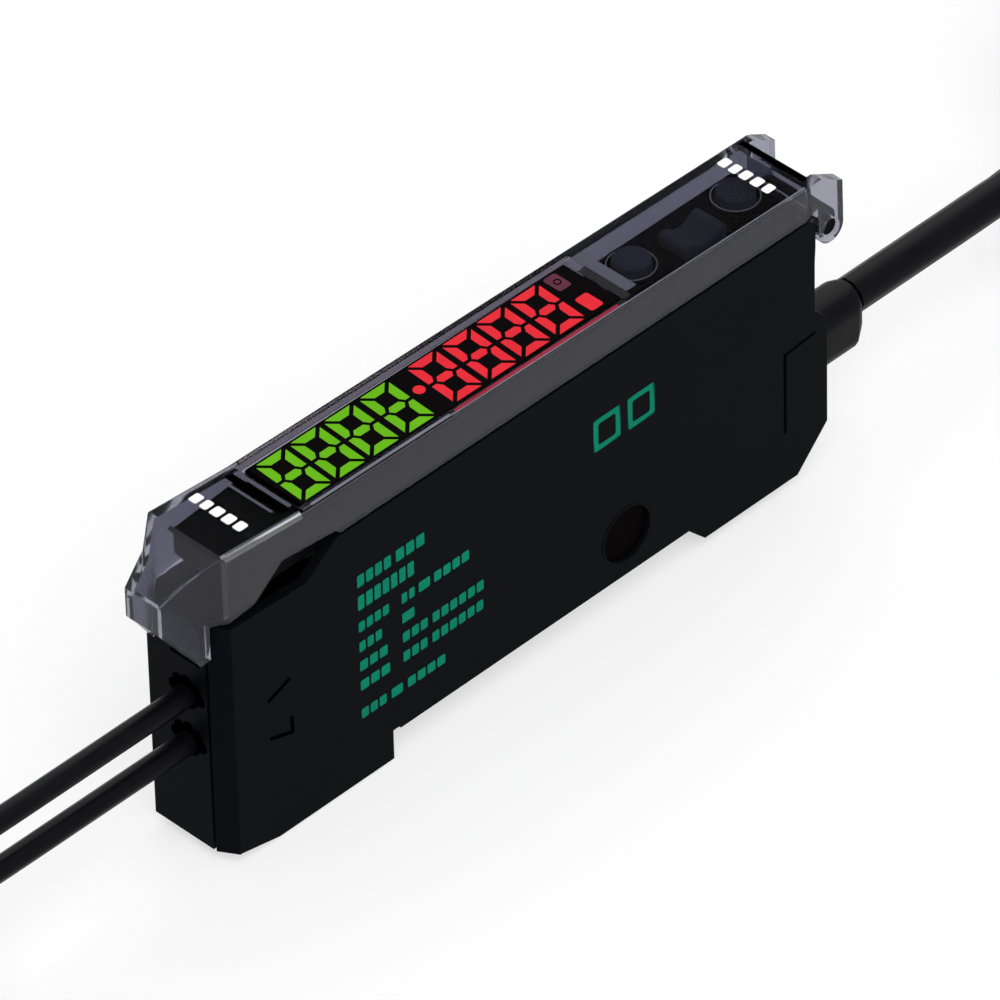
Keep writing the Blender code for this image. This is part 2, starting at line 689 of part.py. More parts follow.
def make_display_window():
    """The smoke window over both rows of digits."""
    top_front = display_height(WINDOW_START)
    top_rear = display_height(WINDOW_END)
    low_front = top_front - WINDOW_THICKNESS
    low_rear = top_rear - WINDOW_THICKNESS
    outline = [(WINDOW_START + GAP, low_front), (WINDOW_END - GAP, low_rear),
               (WINDOW_END - GAP, top_rear), (WINDOW_START + GAP, top_front)]
    window = plate(outline, -WINDOW_WIDTH / 2, WINDOW_WIDTH / 2)

    def upper_rim(first, second):
        return min(first.z, second.z) > top_rear - 0.05

    soften(window, 0.15, upper_rim, 2)
    return finish_part(window, "display_window", "smoke_window")


def segment_points(kind, along, across):
    """Six-sided outline of one lit segment, about the digit's centre, in X and Y."""
    half_w = DIGIT_WIDTH / 2
    half_h = DIGIT_HEIGHT / 2
    stroke = DIGIT_STROKE
    gap = SEGMENT_GAP
    if kind == "bar":
        edge = across * half_h
        inner = edge - across * stroke if across else stroke / 2
        if across == 0:
            return [(-half_w + stroke / 2 + gap, 0.0), (-half_w + stroke + gap, stroke / 2),
                    (half_w - stroke - gap, stroke / 2), (half_w - stroke / 2 - gap, 0.0),
                    (half_w - stroke - gap, -stroke / 2), (-half_w + stroke + gap, -stroke / 2)]
        return [(-half_w + gap, edge), (half_w - gap, edge),
                (half_w - stroke - gap, inner), (-half_w + stroke + gap, inner)]
    side = along * half_w
    inner = side - along * stroke
    return [(side, across * (half_h - gap)), (inner, across * (half_h - stroke - gap)),
            (inner, across * (stroke / 2 + gap)), (side - along * stroke / 2, across * gap),
            (side, across * (gap + stroke * 0.1))]


def digit_segments(centre_x):
    """The seven outlines of one slanted figure eight."""
    outlines = [segment_points("bar", 0, across) for across in (-1, 0, 1)]
    outlines += [segment_points("side", along, across) for along in (-1, 1) for across in (-1, 1)]
    slanted = []
    for outline in outlines:
        slanted.append([(centre_x + x + y / DIGIT_HEIGHT * DIGIT_SLANT, y) for x, y in outline])
    return slanted


def make_digits(name, first_x, colour, with_dot):
    """One display block: a thin plate that carries four figures as raised segments."""
    last_x = first_x + (DIGIT_COUNT - 1) * DIGIT_PITCH
    start = first_x - DIGIT_PITCH / 2
    end = last_x + DIGIT_PITCH / 2
    if with_dot:
        start -= 2 * DOT_RADIUS
    face = display_height(end) - WINDOW_THICKNESS - GAP
    base = face - SEGMENT_RISE
    half = DIGIT_HEIGHT / 2 + DIGIT_MARGIN
    body = block((start, end), (-half, half), (base - DIGIT_PLATE, base))
    low = base - DIGIT_PLATE / 2
    for index in range(DIGIT_COUNT):
        for outline in digit_segments(first_x + index * DIGIT_PITCH):
            add(body, plate(outline, low, face, "Z"))
    if with_dot:
        add(body, rod("Z", DOT_RADIUS, low, face, (start + DOT_RADIUS + 0.1, 0.35), 16))
    return finish_part(body, name, colour)


def make_lamp(name, side, colour):
    """A small rounded indicator beside the last figure."""
    face = display_height(WINDOW_END) - WINDOW_THICKNESS - GAP
    centre_y = side * LAMP_OFFSET
    lamp = block((LAMP_X - LAMP_LENGTH / 2, LAMP_X + LAMP_LENGTH / 2),
                 (centre_y - LAMP_WIDTH / 2, centre_y + LAMP_WIDTH / 2), (face - LAMP_HEIGHT, face))

    def upright(first, second):
        return abs(first.z - second.z) > 0.1

    soften(lamp, 0.25, upright, 2)
    return finish_part(lamp, name, colour)


def make_key(name, key_x):
    """A round push key over its switch."""
    centre = (key_x, KEY_OFFSET_Y)
    stem_low = KEY_BOARD_TOP + SWITCH_HEIGHT + SWITCH_PLUNGER + GAP
    key = rod("Z", KEY_RADIUS, stem_low, KEY_TOP_Z, centre, 32)

    def rim(first, second):
        return min(first.z, second.z) > KEY_TOP_Z - 0.01

    soften(key, 0.22, rim, 2)
    return finish_part(key, name, "key_rubber")


def make_rocker():
    """The two-way adjusting key: two raised lobes and a saddle between them."""
    half = ROCKER_LENGTH / 2
    low = ROCKER_AXIS_Z - 0.55
    top = KEY_TOP_Z - 0.2
    outline = [(-half + 0.5, low), (half - 0.5, low), (half, low + 0.6), (half, top - 0.25),
               (half - 0.3, top)]
    steps = 8
    for step in range(steps + 1):
        place = 1.0 - 2.0 * step / steps
        outline.append((place * half * 0.62, top - 0.75 * math.cos(place * math.pi / 2)))
    outline += [(-half + 0.3, top), (-half, top - 0.25), (-half, low + 0.6)]
    key = plate([(ROCKER_X + x, z) for x, z in outline], -ROCKER_WIDTH / 2, ROCKER_WIDTH / 2)

    def side_rim(first, second):
        return abs(first.y - second.y) < 0.01

    soften(key, 0.15, side_rim, 1)
    return finish_part(key, "adjust_rocker", "key_rubber")


def make_switch(name, switch_x, switch_y, top):
    """A tactile switch on the key board: a square body and a round plunger."""
    half = SWITCH_SIZE / 2
    body = block((switch_x - half, switch_x + half), (switch_y - half, switch_y + half),
                 (KEY_BOARD_TOP + 0.02, KEY_BOARD_TOP + SWITCH_HEIGHT))
    add(body, rod("Z", 0.55, KEY_BOARD_TOP + SWITCH_HEIGHT - 0.2, top, (switch_x, switch_y), 16))
    return finish_part(body, name, "steel")


def make_boards():
    """The key and display board lies flat; the main board stands behind it."""
    rear = BODY_LENGTH - REAR_STEP_DEPTH - END_WALL - GAP
    flat = block((12.0, rear), (-2.2, HALF_WIDTH - SIDE_WALL - GAP),
                 (KEY_BOARD_TOP - BOARD_THICKNESS, KEY_BOARD_TOP))
    finish_part(flat, "key_board", "board_green")
    start = GUIDE_START + GUIDE_LENGTH + OPTICAL_BLOCK_LENGTH + DIODE_LENGTH + 2 * GAP
    low = RECESS_CEILING + FLOOR_WALL + GAP
    top = KEY_BOARD_TOP - BOARD_THICKNESS - GAP
    upright = block((start, MAIN_BOARD_END), (MAIN_BOARD_Y, MAIN_BOARD_Y + BOARD_THICKNESS), (low, top))
    chips = (((24.0, 30.0), (10.0, 16.0)), ((34.0, 38.0), (15.0, 18.5)), ((52.0, 57.0), (17.0, 21.0)))
    for x_range, z_range in chips:
        add(upright, block(x_range, (MAIN_BOARD_Y - CHIP_HEIGHT, MAIN_BOARD_Y + 0.3), z_range))
    finish_part(upright, "main_board", "board_green")


def make_optics():
    """Guide, optical block, light source and receiver, all on the two fibre axes."""
    half = 2.1
    low = FIBRE_LOWER_Z - OPTICAL_MARGIN
    high = FIBRE_UPPER_Z + OPTICAL_MARGIN
    guide_end = GUIDE_START + GUIDE_LENGTH
    guide = block((GUIDE_START, guide_end), (-half, half), (low, high))
    block_start = guide_end + GAP
    block_end = block_start + OPTICAL_BLOCK_LENGTH
    holder = block((block_start, block_end), (-half, half), (low - 0.6, high + 0.6))
    for height in (FIBRE_UPPER_Z, FIBRE_LOWER_Z):
        cut(guide, rod("X", FIBRE_HOLE_RADIUS, GUIDE_START - 1.0, guide_end + 1.0, (0.0, height)))
        cut(holder, rod("X", FIBRE_HOLE_RADIUS, block_start - 1.0, block_start + FIBRE_SEAT_DEPTH,
                        (0.0, height)))
        cut(holder, rod("X", 0.5, block_start, block_end + 1.0, (0.0, height), 12))
    finish_part(guide, "fibre_guide", "inner_plastic")
    finish_part(holder, "optical_block", "inner_plastic")
    for name, height, colour in (("light_emitter", FIBRE_UPPER_Z, "clear_lens"),
                                 ("light_receiver", FIBRE_LOWER_Z, "dark_lens")):
        start = block_end + GAP
        diode = rod("X", DIODE_RADIUS, start, start + DIODE_LENGTH - 0.6, (0.0, height))
        add(diode, rod("X", DIODE_RADIUS + 0.35, start + DIODE_LENGTH - 1.0, start + DIODE_LENGTH - 0.2,
                       (0.0, height)))
        finish_part(diode, name, colour)


def make_lever():
    """The fibre lock lever: a hub on its pin, an arm and a thumb plate that turns down."""
    half = LEVER_WIDTH / 2
    back = LEVER_FACE_X + LEVER_THICKNESS
    outline = [(LEVER_PIN_X + 0.4, LEVER_PIN_Z + 0.6), (LEVER_PIN_X - 0.5, LEVER_PIN_Z + 2.0),
               (back, LEVER_TIP_Z - 0.7), (back, LEVER_TIP_Z), (LEVER_FACE_X + 0.2, LEVER_TIP_Z),
               (LEVER_FACE_X, LEVER_TIP_Z - 0.3), (LEVER_FACE_X, LEVER_PIN_Z + 1.5),
               (back, LEVER_PIN_Z + 1.2), (LEVER_PIN_X - 0.8, LEVER_PIN_Z + 0.2)]
    lever = plate(outline, -half, half)
    add(lever, rod("Y", LEVER_HUB_RADIUS, -half, half, (LEVER_PIN_X, LEVER_PIN_Z)))
    for rib in range(3):
        height = LEVER_TIP_Z - 0.7 - rib * 0.6
        add(lever, rod("Y", 0.16, -half + 0.3, half - 0.3, (LEVER_FACE_X, height), 8))
    cut(lever, rod("Y", LEVER_PIN_RADIUS + 0.08, -half - 1.0, half + 1.0, (LEVER_PIN_X, LEVER_PIN_Z), 16))
    finish_part(lever, "lock_lever", "key_rubber")
    pin_half = LEVER_SLOT_WIDTH / 2 + LEVER_PIN_SEAT
    pin = rod("Y", LEVER_PIN_RADIUS, -pin_half, pin_half, (LEVER_PIN_X, LEVER_PIN_Z), 16)
    finish_part(pin, "lever_pin", "steel")


def make_link_windows():
    """Round windows of the link between neighbours, one on each side, and the diodes behind them."""
    for name, side in (("near_link_window", -1), ("far_link_window", 1)):
        face = side * (HALF_WIDTH - LINK_RECESS)
        back = side * (HALF_WIDTH - LINK_RECESS - LINK_DISC)
        disc = rod("Y", LINK_RADIUS - 0.08, min(face, back), max(face, back), (LINK_X, LINK_Z), 32)
        finish_part(disc, name, "smoke_window")
    diode = rod("Y", 1.1, -HALF_WIDTH + LINK_RECESS + LINK_DISC + GAP, MAIN_BOARD_Y - GAP,
                (LINK_X, LINK_Z), 20)
    finish_part(diode, "link_emitter", "clear_lens")
    sensor = rod("Y", 0.9, MAIN_BOARD_Y + BOARD_THICKNESS + GAP, HALF_WIDTH - LINK_RECESS - LINK_DISC - GAP,
                 (LINK_X, LINK_Z), 20)
    finish_part(sensor, "link_receiver", "dark_lens")


def make_gland():
    """The moulded cable outlet: a neck in the rear wall, a flange and a tapered sleeve."""
    start = BODY_LENGTH
    end = start + FLANGE_THICKNESS + GLAND_LENGTH
    rooted = start + (GAP + FLANGE_THICKNESS) / 2
    full = rounded_rectangle(GLAND_HALF_WIDTH, GLAND_BOTTOM, GLAND_TOP, GLAND_CORNER)
    tapered = rounded_rectangle(GLAND_HALF_WIDTH - GLAND_TAPER / 2, GLAND_BOTTOM + GLAND_TAPER, GLAND_TOP,
                                GLAND_CORNER)
    body = hull([(x, y, z) for x in (rooted, end - GLAND_TAPER) for y, z in full]
                + [(end, y, z) for y, z in tapered])
    flange = plate(rounded_rectangle(GLAND_HALF_WIDTH + FLANGE_MARGIN, GLAND_BOTTOM - FLANGE_MARGIN,
                                     GLAND_TOP + FLANGE_MARGIN, GLAND_CORNER + FLANGE_MARGIN),
                   start + GAP, start + FLANGE_THICKNESS, "X")
    neck = plate(rounded_rectangle(GLAND_HALF_WIDTH - GLAND_NECK, GLAND_BOTTOM + GLAND_NECK,
                                   GLAND_TOP - GLAND_NECK, GLAND_CORNER - GLAND_NECK),
                 start - END_WALL - 1.2, rooted + 0.1, "X")
    add(body, flange, neck)
    finish_part(body, "cable_gland", "cable_jacket")
    terminal = block((60.0, 65.6), (-2.6, MAIN_BOARD_Y - 0.02), (8.6, 12.6))
    finish_part(terminal, "cable_terminal", "core_white")


def smooth_points(route, spacing):
    """Points at an even spacing along a smooth curve through the route's own points."""
    dense = []
    closed = [route[0]] + list(route) + [route[-1]]
    for index in range(1, len(closed) - 2):
        before, first, second, after = (Vector(closed[index + shift]) for shift in (-1, 0, 1, 2))
        for step in range(24):
            t = step / 24
            dense.append(0.5 * (2 * first + (second - before) * t
                                + (2 * before - 5 * first + 4 * second - after) * t * t
                                + (3 * first - before - 3 * second + after) * t ** 3))
    dense.append(Vector(route[-1]))
    total = sum((b - a).length for a, b in zip(dense, dense[1:]))
    count = max(2, round(total / spacing))
    step_length = total / count
    kept = [dense[0]]
    walked = 0.0
    for a, b in zip(dense, dense[1:]):
        piece = (b - a).length
        while piece > 0 and walked + piece >= step_length * len(kept) and len(kept) < count:
            share = (step_length * len(kept) - walked) / piece
            kept.append(a.lerp(b, share))
        walked += piece
    kept.append(dense[-1])
    return kept


def tube(name, route, diameter, colour, resolution=2, spacing=2.5):
    """A round cord along a route, closed at both ends."""
    points = smooth_points(route, spacing * diameter)
    curve = bpy.data.curves.new(name, "CURVE")
    curve.dimensions = "3D"
    curve.bevel_depth = diameter / 2 * MM
    curve.bevel_resolution = resolution
    curve.use_fill_caps = True
    spline = curve.splines.new("POLY")
    spline.points.add(len(points) - 1)
    for point, place in zip(spline.points, points):
        point.co = (*(place * MM), 1.0)
    obj = bpy.data.objects.new(name, curve)
    obj.data.materials.append(material(colour))
    PARTS.objects.link(obj)
    obj.parent = frame_empty
    return obj


def make_hank(name, near_end, far_end, rows, layers, diameter, low, colour):
    """The outer shape of a flat hank: straight runs between two round ends, rows side by side in layers."""
    inner = FOLD_DIAMETERS * diameter - diameter / 2
    outer = inner + rows * diameter
    high = low + layers * diameter
    corner = COIL_CORNER * diameter

    def track(radius):
        return (arc((far_end, 0.0), radius, -90.0, 90.0, 12) + arc((near_end, 0.0), radius, 90.0, 270.0, 12))

    body = plate(track(outer), low, high, "Z")
    cut(body, plate(track(inner), low - 1.0, high + 1.0, "Z"))
    soften(body, corner, lambda a, b: abs(a.z - b.z) < 0.05, 1)
    finish_part(body, name, colour)


def make_tie(name, x, run_y, half_width, low, high):
    """A flat strap round one run of a hank."""
    slack = STRAP_GAP
    outside = STRAP_GAP + STRAP_THICKNESS
    strap = block((x - STRAP_WIDTH / 2, x + STRAP_WIDTH / 2),
                  (run_y - half_width - outside, run_y + half_width + outside), (low - outside, high + outside))
    cut(strap, block((x - STRAP_WIDTH, x + STRAP_WIDTH),
                     (run_y - half_width - slack, run_y + half_width + slack), (low - slack, high + slack)))
    finish_part(strap, name, "black_plastic")


def make_power_cable():
    """The power cable: straight out of the gland, down to the surface and into its hank."""
    rest = HANK_FLOOR + CABLE_DIAMETER / 2
    start = REAR_END + GAP
    route = [(start, 0.0, CABLE_Z), (REAR_END + 6.0, 0.0, CABLE_Z), (92.0, 0.0, CABLE_Z), (97.0, -0.1, 11.1),
             (103.5, -2.1, 8.4), (109.1, -7.8, 4.2), (112.0, -11.0, rest + 0.1), (114.4, -13.9, rest)]
    tube("power_cable", route, CABLE_DIAMETER, "cable_jacket", 2, 2.4)
    make_hank("power_cable_coil", CABLE_HANK_START, CABLE_HANK_END, CABLE_ROWS, CABLE_LAYERS, CABLE_DIAMETER,
              HANK_FLOOR, "cable_jacket")
    run_y = (FOLD_DIAMETERS + (CABLE_ROWS - 1) / 2) * CABLE_DIAMETER
    high = HANK_FLOOR + CABLE_LAYERS * CABLE_DIAMETER
    for label, side in (("near", -1), ("far", 1)):
        make_tie(f"cable_tie_{label}", CABLE_TIE_X, side * run_y, CABLE_ROWS * CABLE_DIAMETER / 2, HANK_FLOOR,
                 high)
    core_z = high + GAP + CORE_DIAMETER / 2
    for index, colour in enumerate(("core_brown", "core_blue", "core_black", "core_white")):
        core_y = (index - 1.5) * (CORE_DIAMETER + GAP) - run_y
        route = [(CORE_START, core_y, core_z), (CORE_START + CORE_LENGTH / 2, core_y * 1.01, core_z),
                 (CORE_START + CORE_LENGTH - index * 0.6, core_y, core_z)]
        tube(colour, route, CORE_DIAMETER, colour, 2, 3.0)


def make_head(label, axis, start, centre):
    """A fibre's threaded head with its collar at the fibre's end, and the nut on its thread."""
    head = rod(axis, HEAD_RADIUS, start, start + HEAD_LENGTH, centre)
    add(head, rod(axis, HEAD_COLLAR_RADIUS, start - 0.6, start + 2.2, centre))
    finish_part(head, f"{label}_head", "steel")
    nut_start = start + HEAD_LENGTH / 2
    nut = rod(axis, NUT_WIDTH / 2 / math.cos(math.pi / 6), nut_start, nut_start + NUT_THICKNESS, centre, 6)
    cut(nut, rod(axis, HEAD_RADIUS + THREAD_CLEARANCE, nut_start - 1.0, nut_start + NUT_THICKNESS + 1.0, centre))
    finish_part(nut, f"{label}_head_nut", "steel")


def make_fibres():
    """Two plastic fibres, each with its hank, threaded head and nut; one hank lies on the other."""
    radius = FIBRE_DIAMETER / 2
    tall = FIBRE_LAYERS * FIBRE_DIAMETER
    upper_low = HANK_FLOOR + tall + GAP
    seat = GUIDE_START + GUIDE_LENGTH + GAP + FIBRE_SEAT_DEPTH - GAP
    for label, height, low in (("emitter", FIBRE_UPPER_Z, upper_low), ("receiver", FIBRE_LOWER_Z, HANK_FLOOR)):
        rest = low + radius
        route = [(seat, 0.0, height), (0.0, 0.0, height), (-12.0, 0.0, height), (-20.5, -0.1, height),
                 (-26.2, -2.3, rest + (height - rest) * 0.72), (-32.0, -8.2, rest + (height - rest) * 0.22),
                 (-37.6, -13.3, rest)]
        tube(f"{label}_fibre", route, FIBRE_DIAMETER, "cable_jacket", 2, 2.4)
        make_hank(f"{label}_fibre_coil", FIBRE_HANK_END, FIBRE_HANK_START, FIBRE_ROWS, FIBRE_LAYERS,
                  FIBRE_DIAMETER, low, "cable_jacket")
    run_y = (FOLD_DIAMETERS + (FIBRE_ROWS - 1) / 2) * FIBRE_DIAMETER
    high = upper_low + tall
    for label, side in (("near", -1), ("far", 1)):
        make_tie(f"fibre_tie_{label}", FIBRE_TIE_X, side * run_y, FIBRE_ROWS * FIBRE_DIAMETER / 2, HANK_FLOOR,
                 high)
    make_head("emitter", "X", EMITTER_HEAD_X, (run_y, high + GAP + NUT_WIDTH / 2))
    make_head("receiver", "Y", RECEIVER_HEAD_Y, (FIBRE_HANK_END - RECEIVER_HEAD_OUT, NUT_WIDTH / 2 + CORD_FLOOR))


make_base_housing()
make_side_cover()
make_hinged_cover()
make_top_bezel()
make_display_window()
make_digits("green_digits", GREEN_FIRST_X, "green_light", False)
make_digits("red_digits", RED_FIRST_X, "red_light", True)
make_lamp("output_lamp", -1, "red_light")
make_lamp("lock_lamp", 1, "dim_light")
make_key("set_button", SET_KEY_X)
make_key("mode_button", MODE_KEY_X)
make_rocker()
plunger_top = KEY_BOARD_TOP + SWITCH_HEIGHT + SWITCH_PLUNGER
make_switch("set_switch", SET_KEY_X, KEY_OFFSET_Y, plunger_top)
make_switch("mode_switch", MODE_KEY_X, KEY_OFFSET_Y, plunger_top)
make_switch("down_switch", ROCKER_X - 1.4, 0.0, plunger_top)
make_switch("up_switch", ROCKER_X + 1.4, 0.0, plunger_top)
make_boards()
make_optics()
make_lever()
make_link_windows()
make_gland()
make_power_cable()
make_fibres()
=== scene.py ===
import math

import bpy
from mathutils import Matrix, Vector


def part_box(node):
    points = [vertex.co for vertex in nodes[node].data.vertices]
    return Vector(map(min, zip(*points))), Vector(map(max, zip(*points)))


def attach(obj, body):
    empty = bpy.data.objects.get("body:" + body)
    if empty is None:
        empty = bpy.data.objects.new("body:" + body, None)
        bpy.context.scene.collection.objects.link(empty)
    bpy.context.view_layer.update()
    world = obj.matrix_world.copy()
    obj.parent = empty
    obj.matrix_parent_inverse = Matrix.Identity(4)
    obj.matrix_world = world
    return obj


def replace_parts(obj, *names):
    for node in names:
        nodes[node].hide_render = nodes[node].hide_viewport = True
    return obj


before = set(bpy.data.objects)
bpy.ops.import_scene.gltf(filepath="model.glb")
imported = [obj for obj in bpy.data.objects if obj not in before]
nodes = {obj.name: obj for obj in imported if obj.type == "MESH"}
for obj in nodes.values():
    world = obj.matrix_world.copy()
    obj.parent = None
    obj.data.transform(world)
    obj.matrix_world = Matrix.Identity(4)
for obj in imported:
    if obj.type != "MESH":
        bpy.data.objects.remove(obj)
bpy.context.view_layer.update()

scene = bpy.context.scene
scene.view_settings.view_transform = "Standard"
print("frame loaded:", len(nodes), "nodes")

midLength = 37.15      # mm from the fibre-end face to the middle of the amplifier


# Places are counted in mm: x from the fibre-end face, y from the middle of the width, z from the feet
def spot(x, y, z):
    return Vector(((x - midLength) / 1000, y / 1000, z / 1000))


def clearSelection():
    if bpy.context.object and bpy.context.object.mode == "EDIT":
        bpy.ops.object.mode_set(mode="OBJECT")
    bpy.ops.object.select_all(action="DESELECT")


def pick(obj):
    clearSelection()
    obj.select_set(True)
    bpy.context.view_layer.objects.active = obj
    return obj


def settle(obj):
    pick(obj)      # the place goes into the mesh, as on the frame's own nodes
    bpy.ops.object.transform_apply(location=True, rotation=True, scale=True)
    return obj


def startEdit(obj):      # edit mode with all of the mesh selected
    pick(obj)
    bpy.ops.object.mode_set(mode="EDIT")
    bpy.ops.mesh.select_all(action="SELECT")


def endEdit():      # every face points outwards, then object mode
    bpy.ops.mesh.select_all(action="SELECT")
    bpy.ops.mesh.normals_make_consistent(inside=False)
    bpy.ops.object.mode_set(mode="OBJECT")


# Camera at the photograph's angle
cameraSettings = {
    "azimuth": -44.51,
    "elevation": 40.238,
    "roll": -1.457,
    "distance": 0.97853,
    "lens": 421.4,
    "sensor": 36.0,
    "clip": (0.05, 20.0),
    "target": (-0.00064, 0.0, 0.01482),
}


def makeCamera(settings):
    around = math.radians(settings["azimuth"])
    above = math.radians(settings["elevation"])
    roll = math.radians(settings["roll"])
    back = Vector((math.sin(around) * math.cos(above), -math.cos(around) * math.cos(above),
                   math.sin(above)))
    right = Vector((math.cos(around), math.sin(around), 0.0))
    upward = back.cross(right)
    sideways = right * math.cos(roll) + upward * math.sin(roll)
    upright = upward * math.cos(roll) - right * math.sin(roll)
    bpy.ops.object.camera_add(location=Vector(settings["target"]) + back * settings["distance"])
    camera = bpy.context.object
    camera.name = "mainCamera"
    camera.rotation_euler = Matrix((sideways, upright, back)).transposed().to_euler()
    camera.data.lens = settings["lens"]
    camera.data.sensor_width = settings["sensor"]
    camera.data.clip_start, camera.data.clip_end = settings["clip"]
    scene.camera = camera


makeCamera(cameraSettings)
print("camera placed")


# Finishes
noiseSpan = (0.3, 0.7)      # where most of a noise's values lie


def startFinish(name):
    finish = bpy.data.materials.new(name)
    finish.use_nodes = True
    tree = finish.node_tree
    shader = tree.nodes["Principled BSDF"]
    place = tree.nodes.new("ShaderNodeTexCoord")
    return finish, tree, shader, place.outputs["Object"]


def addNoise(tree, source, scale, detail, roughness=0.5):
    noise = tree.nodes.new("ShaderNodeTexNoise")
    noise.inputs["Scale"].default_value = scale
    noise.inputs["Detail"].default_value = detail
    noise.inputs["Roughness"].default_value = roughness
    tree.links.new(source, noise.inputs["Vector"])
    return noise.outputs["Fac"]


def addRange(tree, source, target, low, high, span=noiseSpan):
    change = tree.nodes.new("ShaderNodeMapRange")
    change.inputs["From Min"].default_value, change.inputs["From Max"].default_value = span
    change.inputs["To Min"].default_value = low
    change.inputs["To Max"].default_value = high
    tree.links.new(source, change.inputs["Value"])
    tree.links.new(change.outputs["Result"], target)


def addColours(tree, source, target, dark, light):
    ramp = tree.nodes.new("ShaderNodeValToRGB")
    for stop, position, colour in zip(ramp.color_ramp.elements, noiseSpan, (dark, light)):
        stop.position = position
        stop.color = (*colour, 1.0)
    tree.links.new(source, ramp.inputs["Fac"])
    tree.links.new(ramp.outputs["Color"], target)


def addBump(tree, shader, source, height, strength):
    bump = tree.nodes.new("ShaderNodeBump")
    bump.inputs["Distance"].default_value = height
    bump.inputs["Strength"].default_value = strength
    tree.links.new(source, bump.inputs["Height"])
    tree.links.new(bump.outputs["Normal"], shader.inputs["Normal"])


def dimmed(colour, share):
    return tuple(part * share for part in colour)


def mouldedPlastic(name, dark, light, roughness, gloss, grainScale=5200.0):
    finish, tree, shader, place = startFinish(name)
    cloud = addNoise(tree, place, scale=160.0, detail=4.0, roughness=0.6)
    grain = addNoise(tree, place, scale=grainScale, detail=2.0)
    addColours(tree, cloud, shader.inputs["Base Color"], dark, light)
    addRange(tree, cloud, shader.inputs["Roughness"], roughness - 0.05, roughness + 0.07)
    addBump(tree, shader, grain, height=0.000003, strength=0.4)
    shader.inputs["Specular IOR Level"].default_value = gloss
    return finish


def clearPlastic(name, tint, refraction, roughness, clearness=1.0):
    finish, tree, shader, place = startFinish(name)
    shader.inputs["Transmission Weight"].default_value = clearness
    shader.inputs["IOR"].default_value = refraction
    cloud = addNoise(tree, place, scale=210.0, detail=3.0, roughness=0.6)
    addColours(tree, cloud, shader.inputs["Base Color"], dimmed(tint, 0.93), tint)
    addRange(tree, cloud, shader.inputs["Roughness"], roughness, roughness + 0.03)
    return finish


def litPlastic(name, colour, strength):
    finish, tree, shader, place = startFinish(name)
    cloud = addNoise(tree, place, scale=420.0, detail=2.0)
    faint = dimmed(colour, 0.03)
    addColours(tree, cloud, shader.inputs["Emission Color"], dimmed(colour, 0.92), colour)
    addColours(tree, cloud, shader.inputs["Base Color"], dimmed(faint, 0.9), faint)
    shader.inputs["Emission Strength"].default_value = strength
    shader.inputs["Roughness"].default_value = 0.5
    shader.inputs["Specular IOR Level"].default_value = 0.01
    return finish


def turnedMetal(name, dark, light, roughness):
    finish, tree, shader, place = startFinish(name)
    shader.inputs["Metallic"].default_value = 1.0
    stretch = tree.nodes.new("ShaderNodeMapping")
    stretch.inputs["Scale"].default_value = (6.0, 1.0, 1.0)
    tree.links.new(place, stretch.inputs["Vector"])
    lines = addNoise(tree, stretch.outputs["Vector"], scale=900.0, detail=4.0, roughness=0.7)
    addColours(tree, lines, shader.inputs["Base Color"], dark, light)
    addRange(tree, lines, shader.inputs["Roughness"], roughness - 0.06, roughness + 0.1)
    addBump(tree, shader, lines, height=0.00001, strength=0.3)
    return finish


def circuitBoard(name):
    finish, tree, shader, place = startFinish(name)
    tracks = tree.nodes.new("ShaderNodeTexBrick")
    tracks.inputs["Scale"].default_value = 420.0
    tracks.inputs["Color1"].default_value = (0.010, 0.085, 0.035, 1.0)
    tracks.inputs["Color2"].default_value = (0.014, 0.110, 0.045, 1.0)
    tracks.inputs["Mortar"].default_value = (0.030, 0.200, 0.090, 1.0)
    tracks.inputs["Mortar Size"].default_value = 0.03
    tree.links.new(place, tracks.inputs["Vector"])
    tree.links.new(tracks.outputs["Color"], shader.inputs["Base Color"])
    addRange(tree, tracks.outputs["Fac"], shader.inputs["Roughness"], 0.35, 0.5, span=(0.0, 1.0))
    addBump(tree, shader, tracks.outputs["Fac"], height=0.00003, strength=0.5)
    return finish


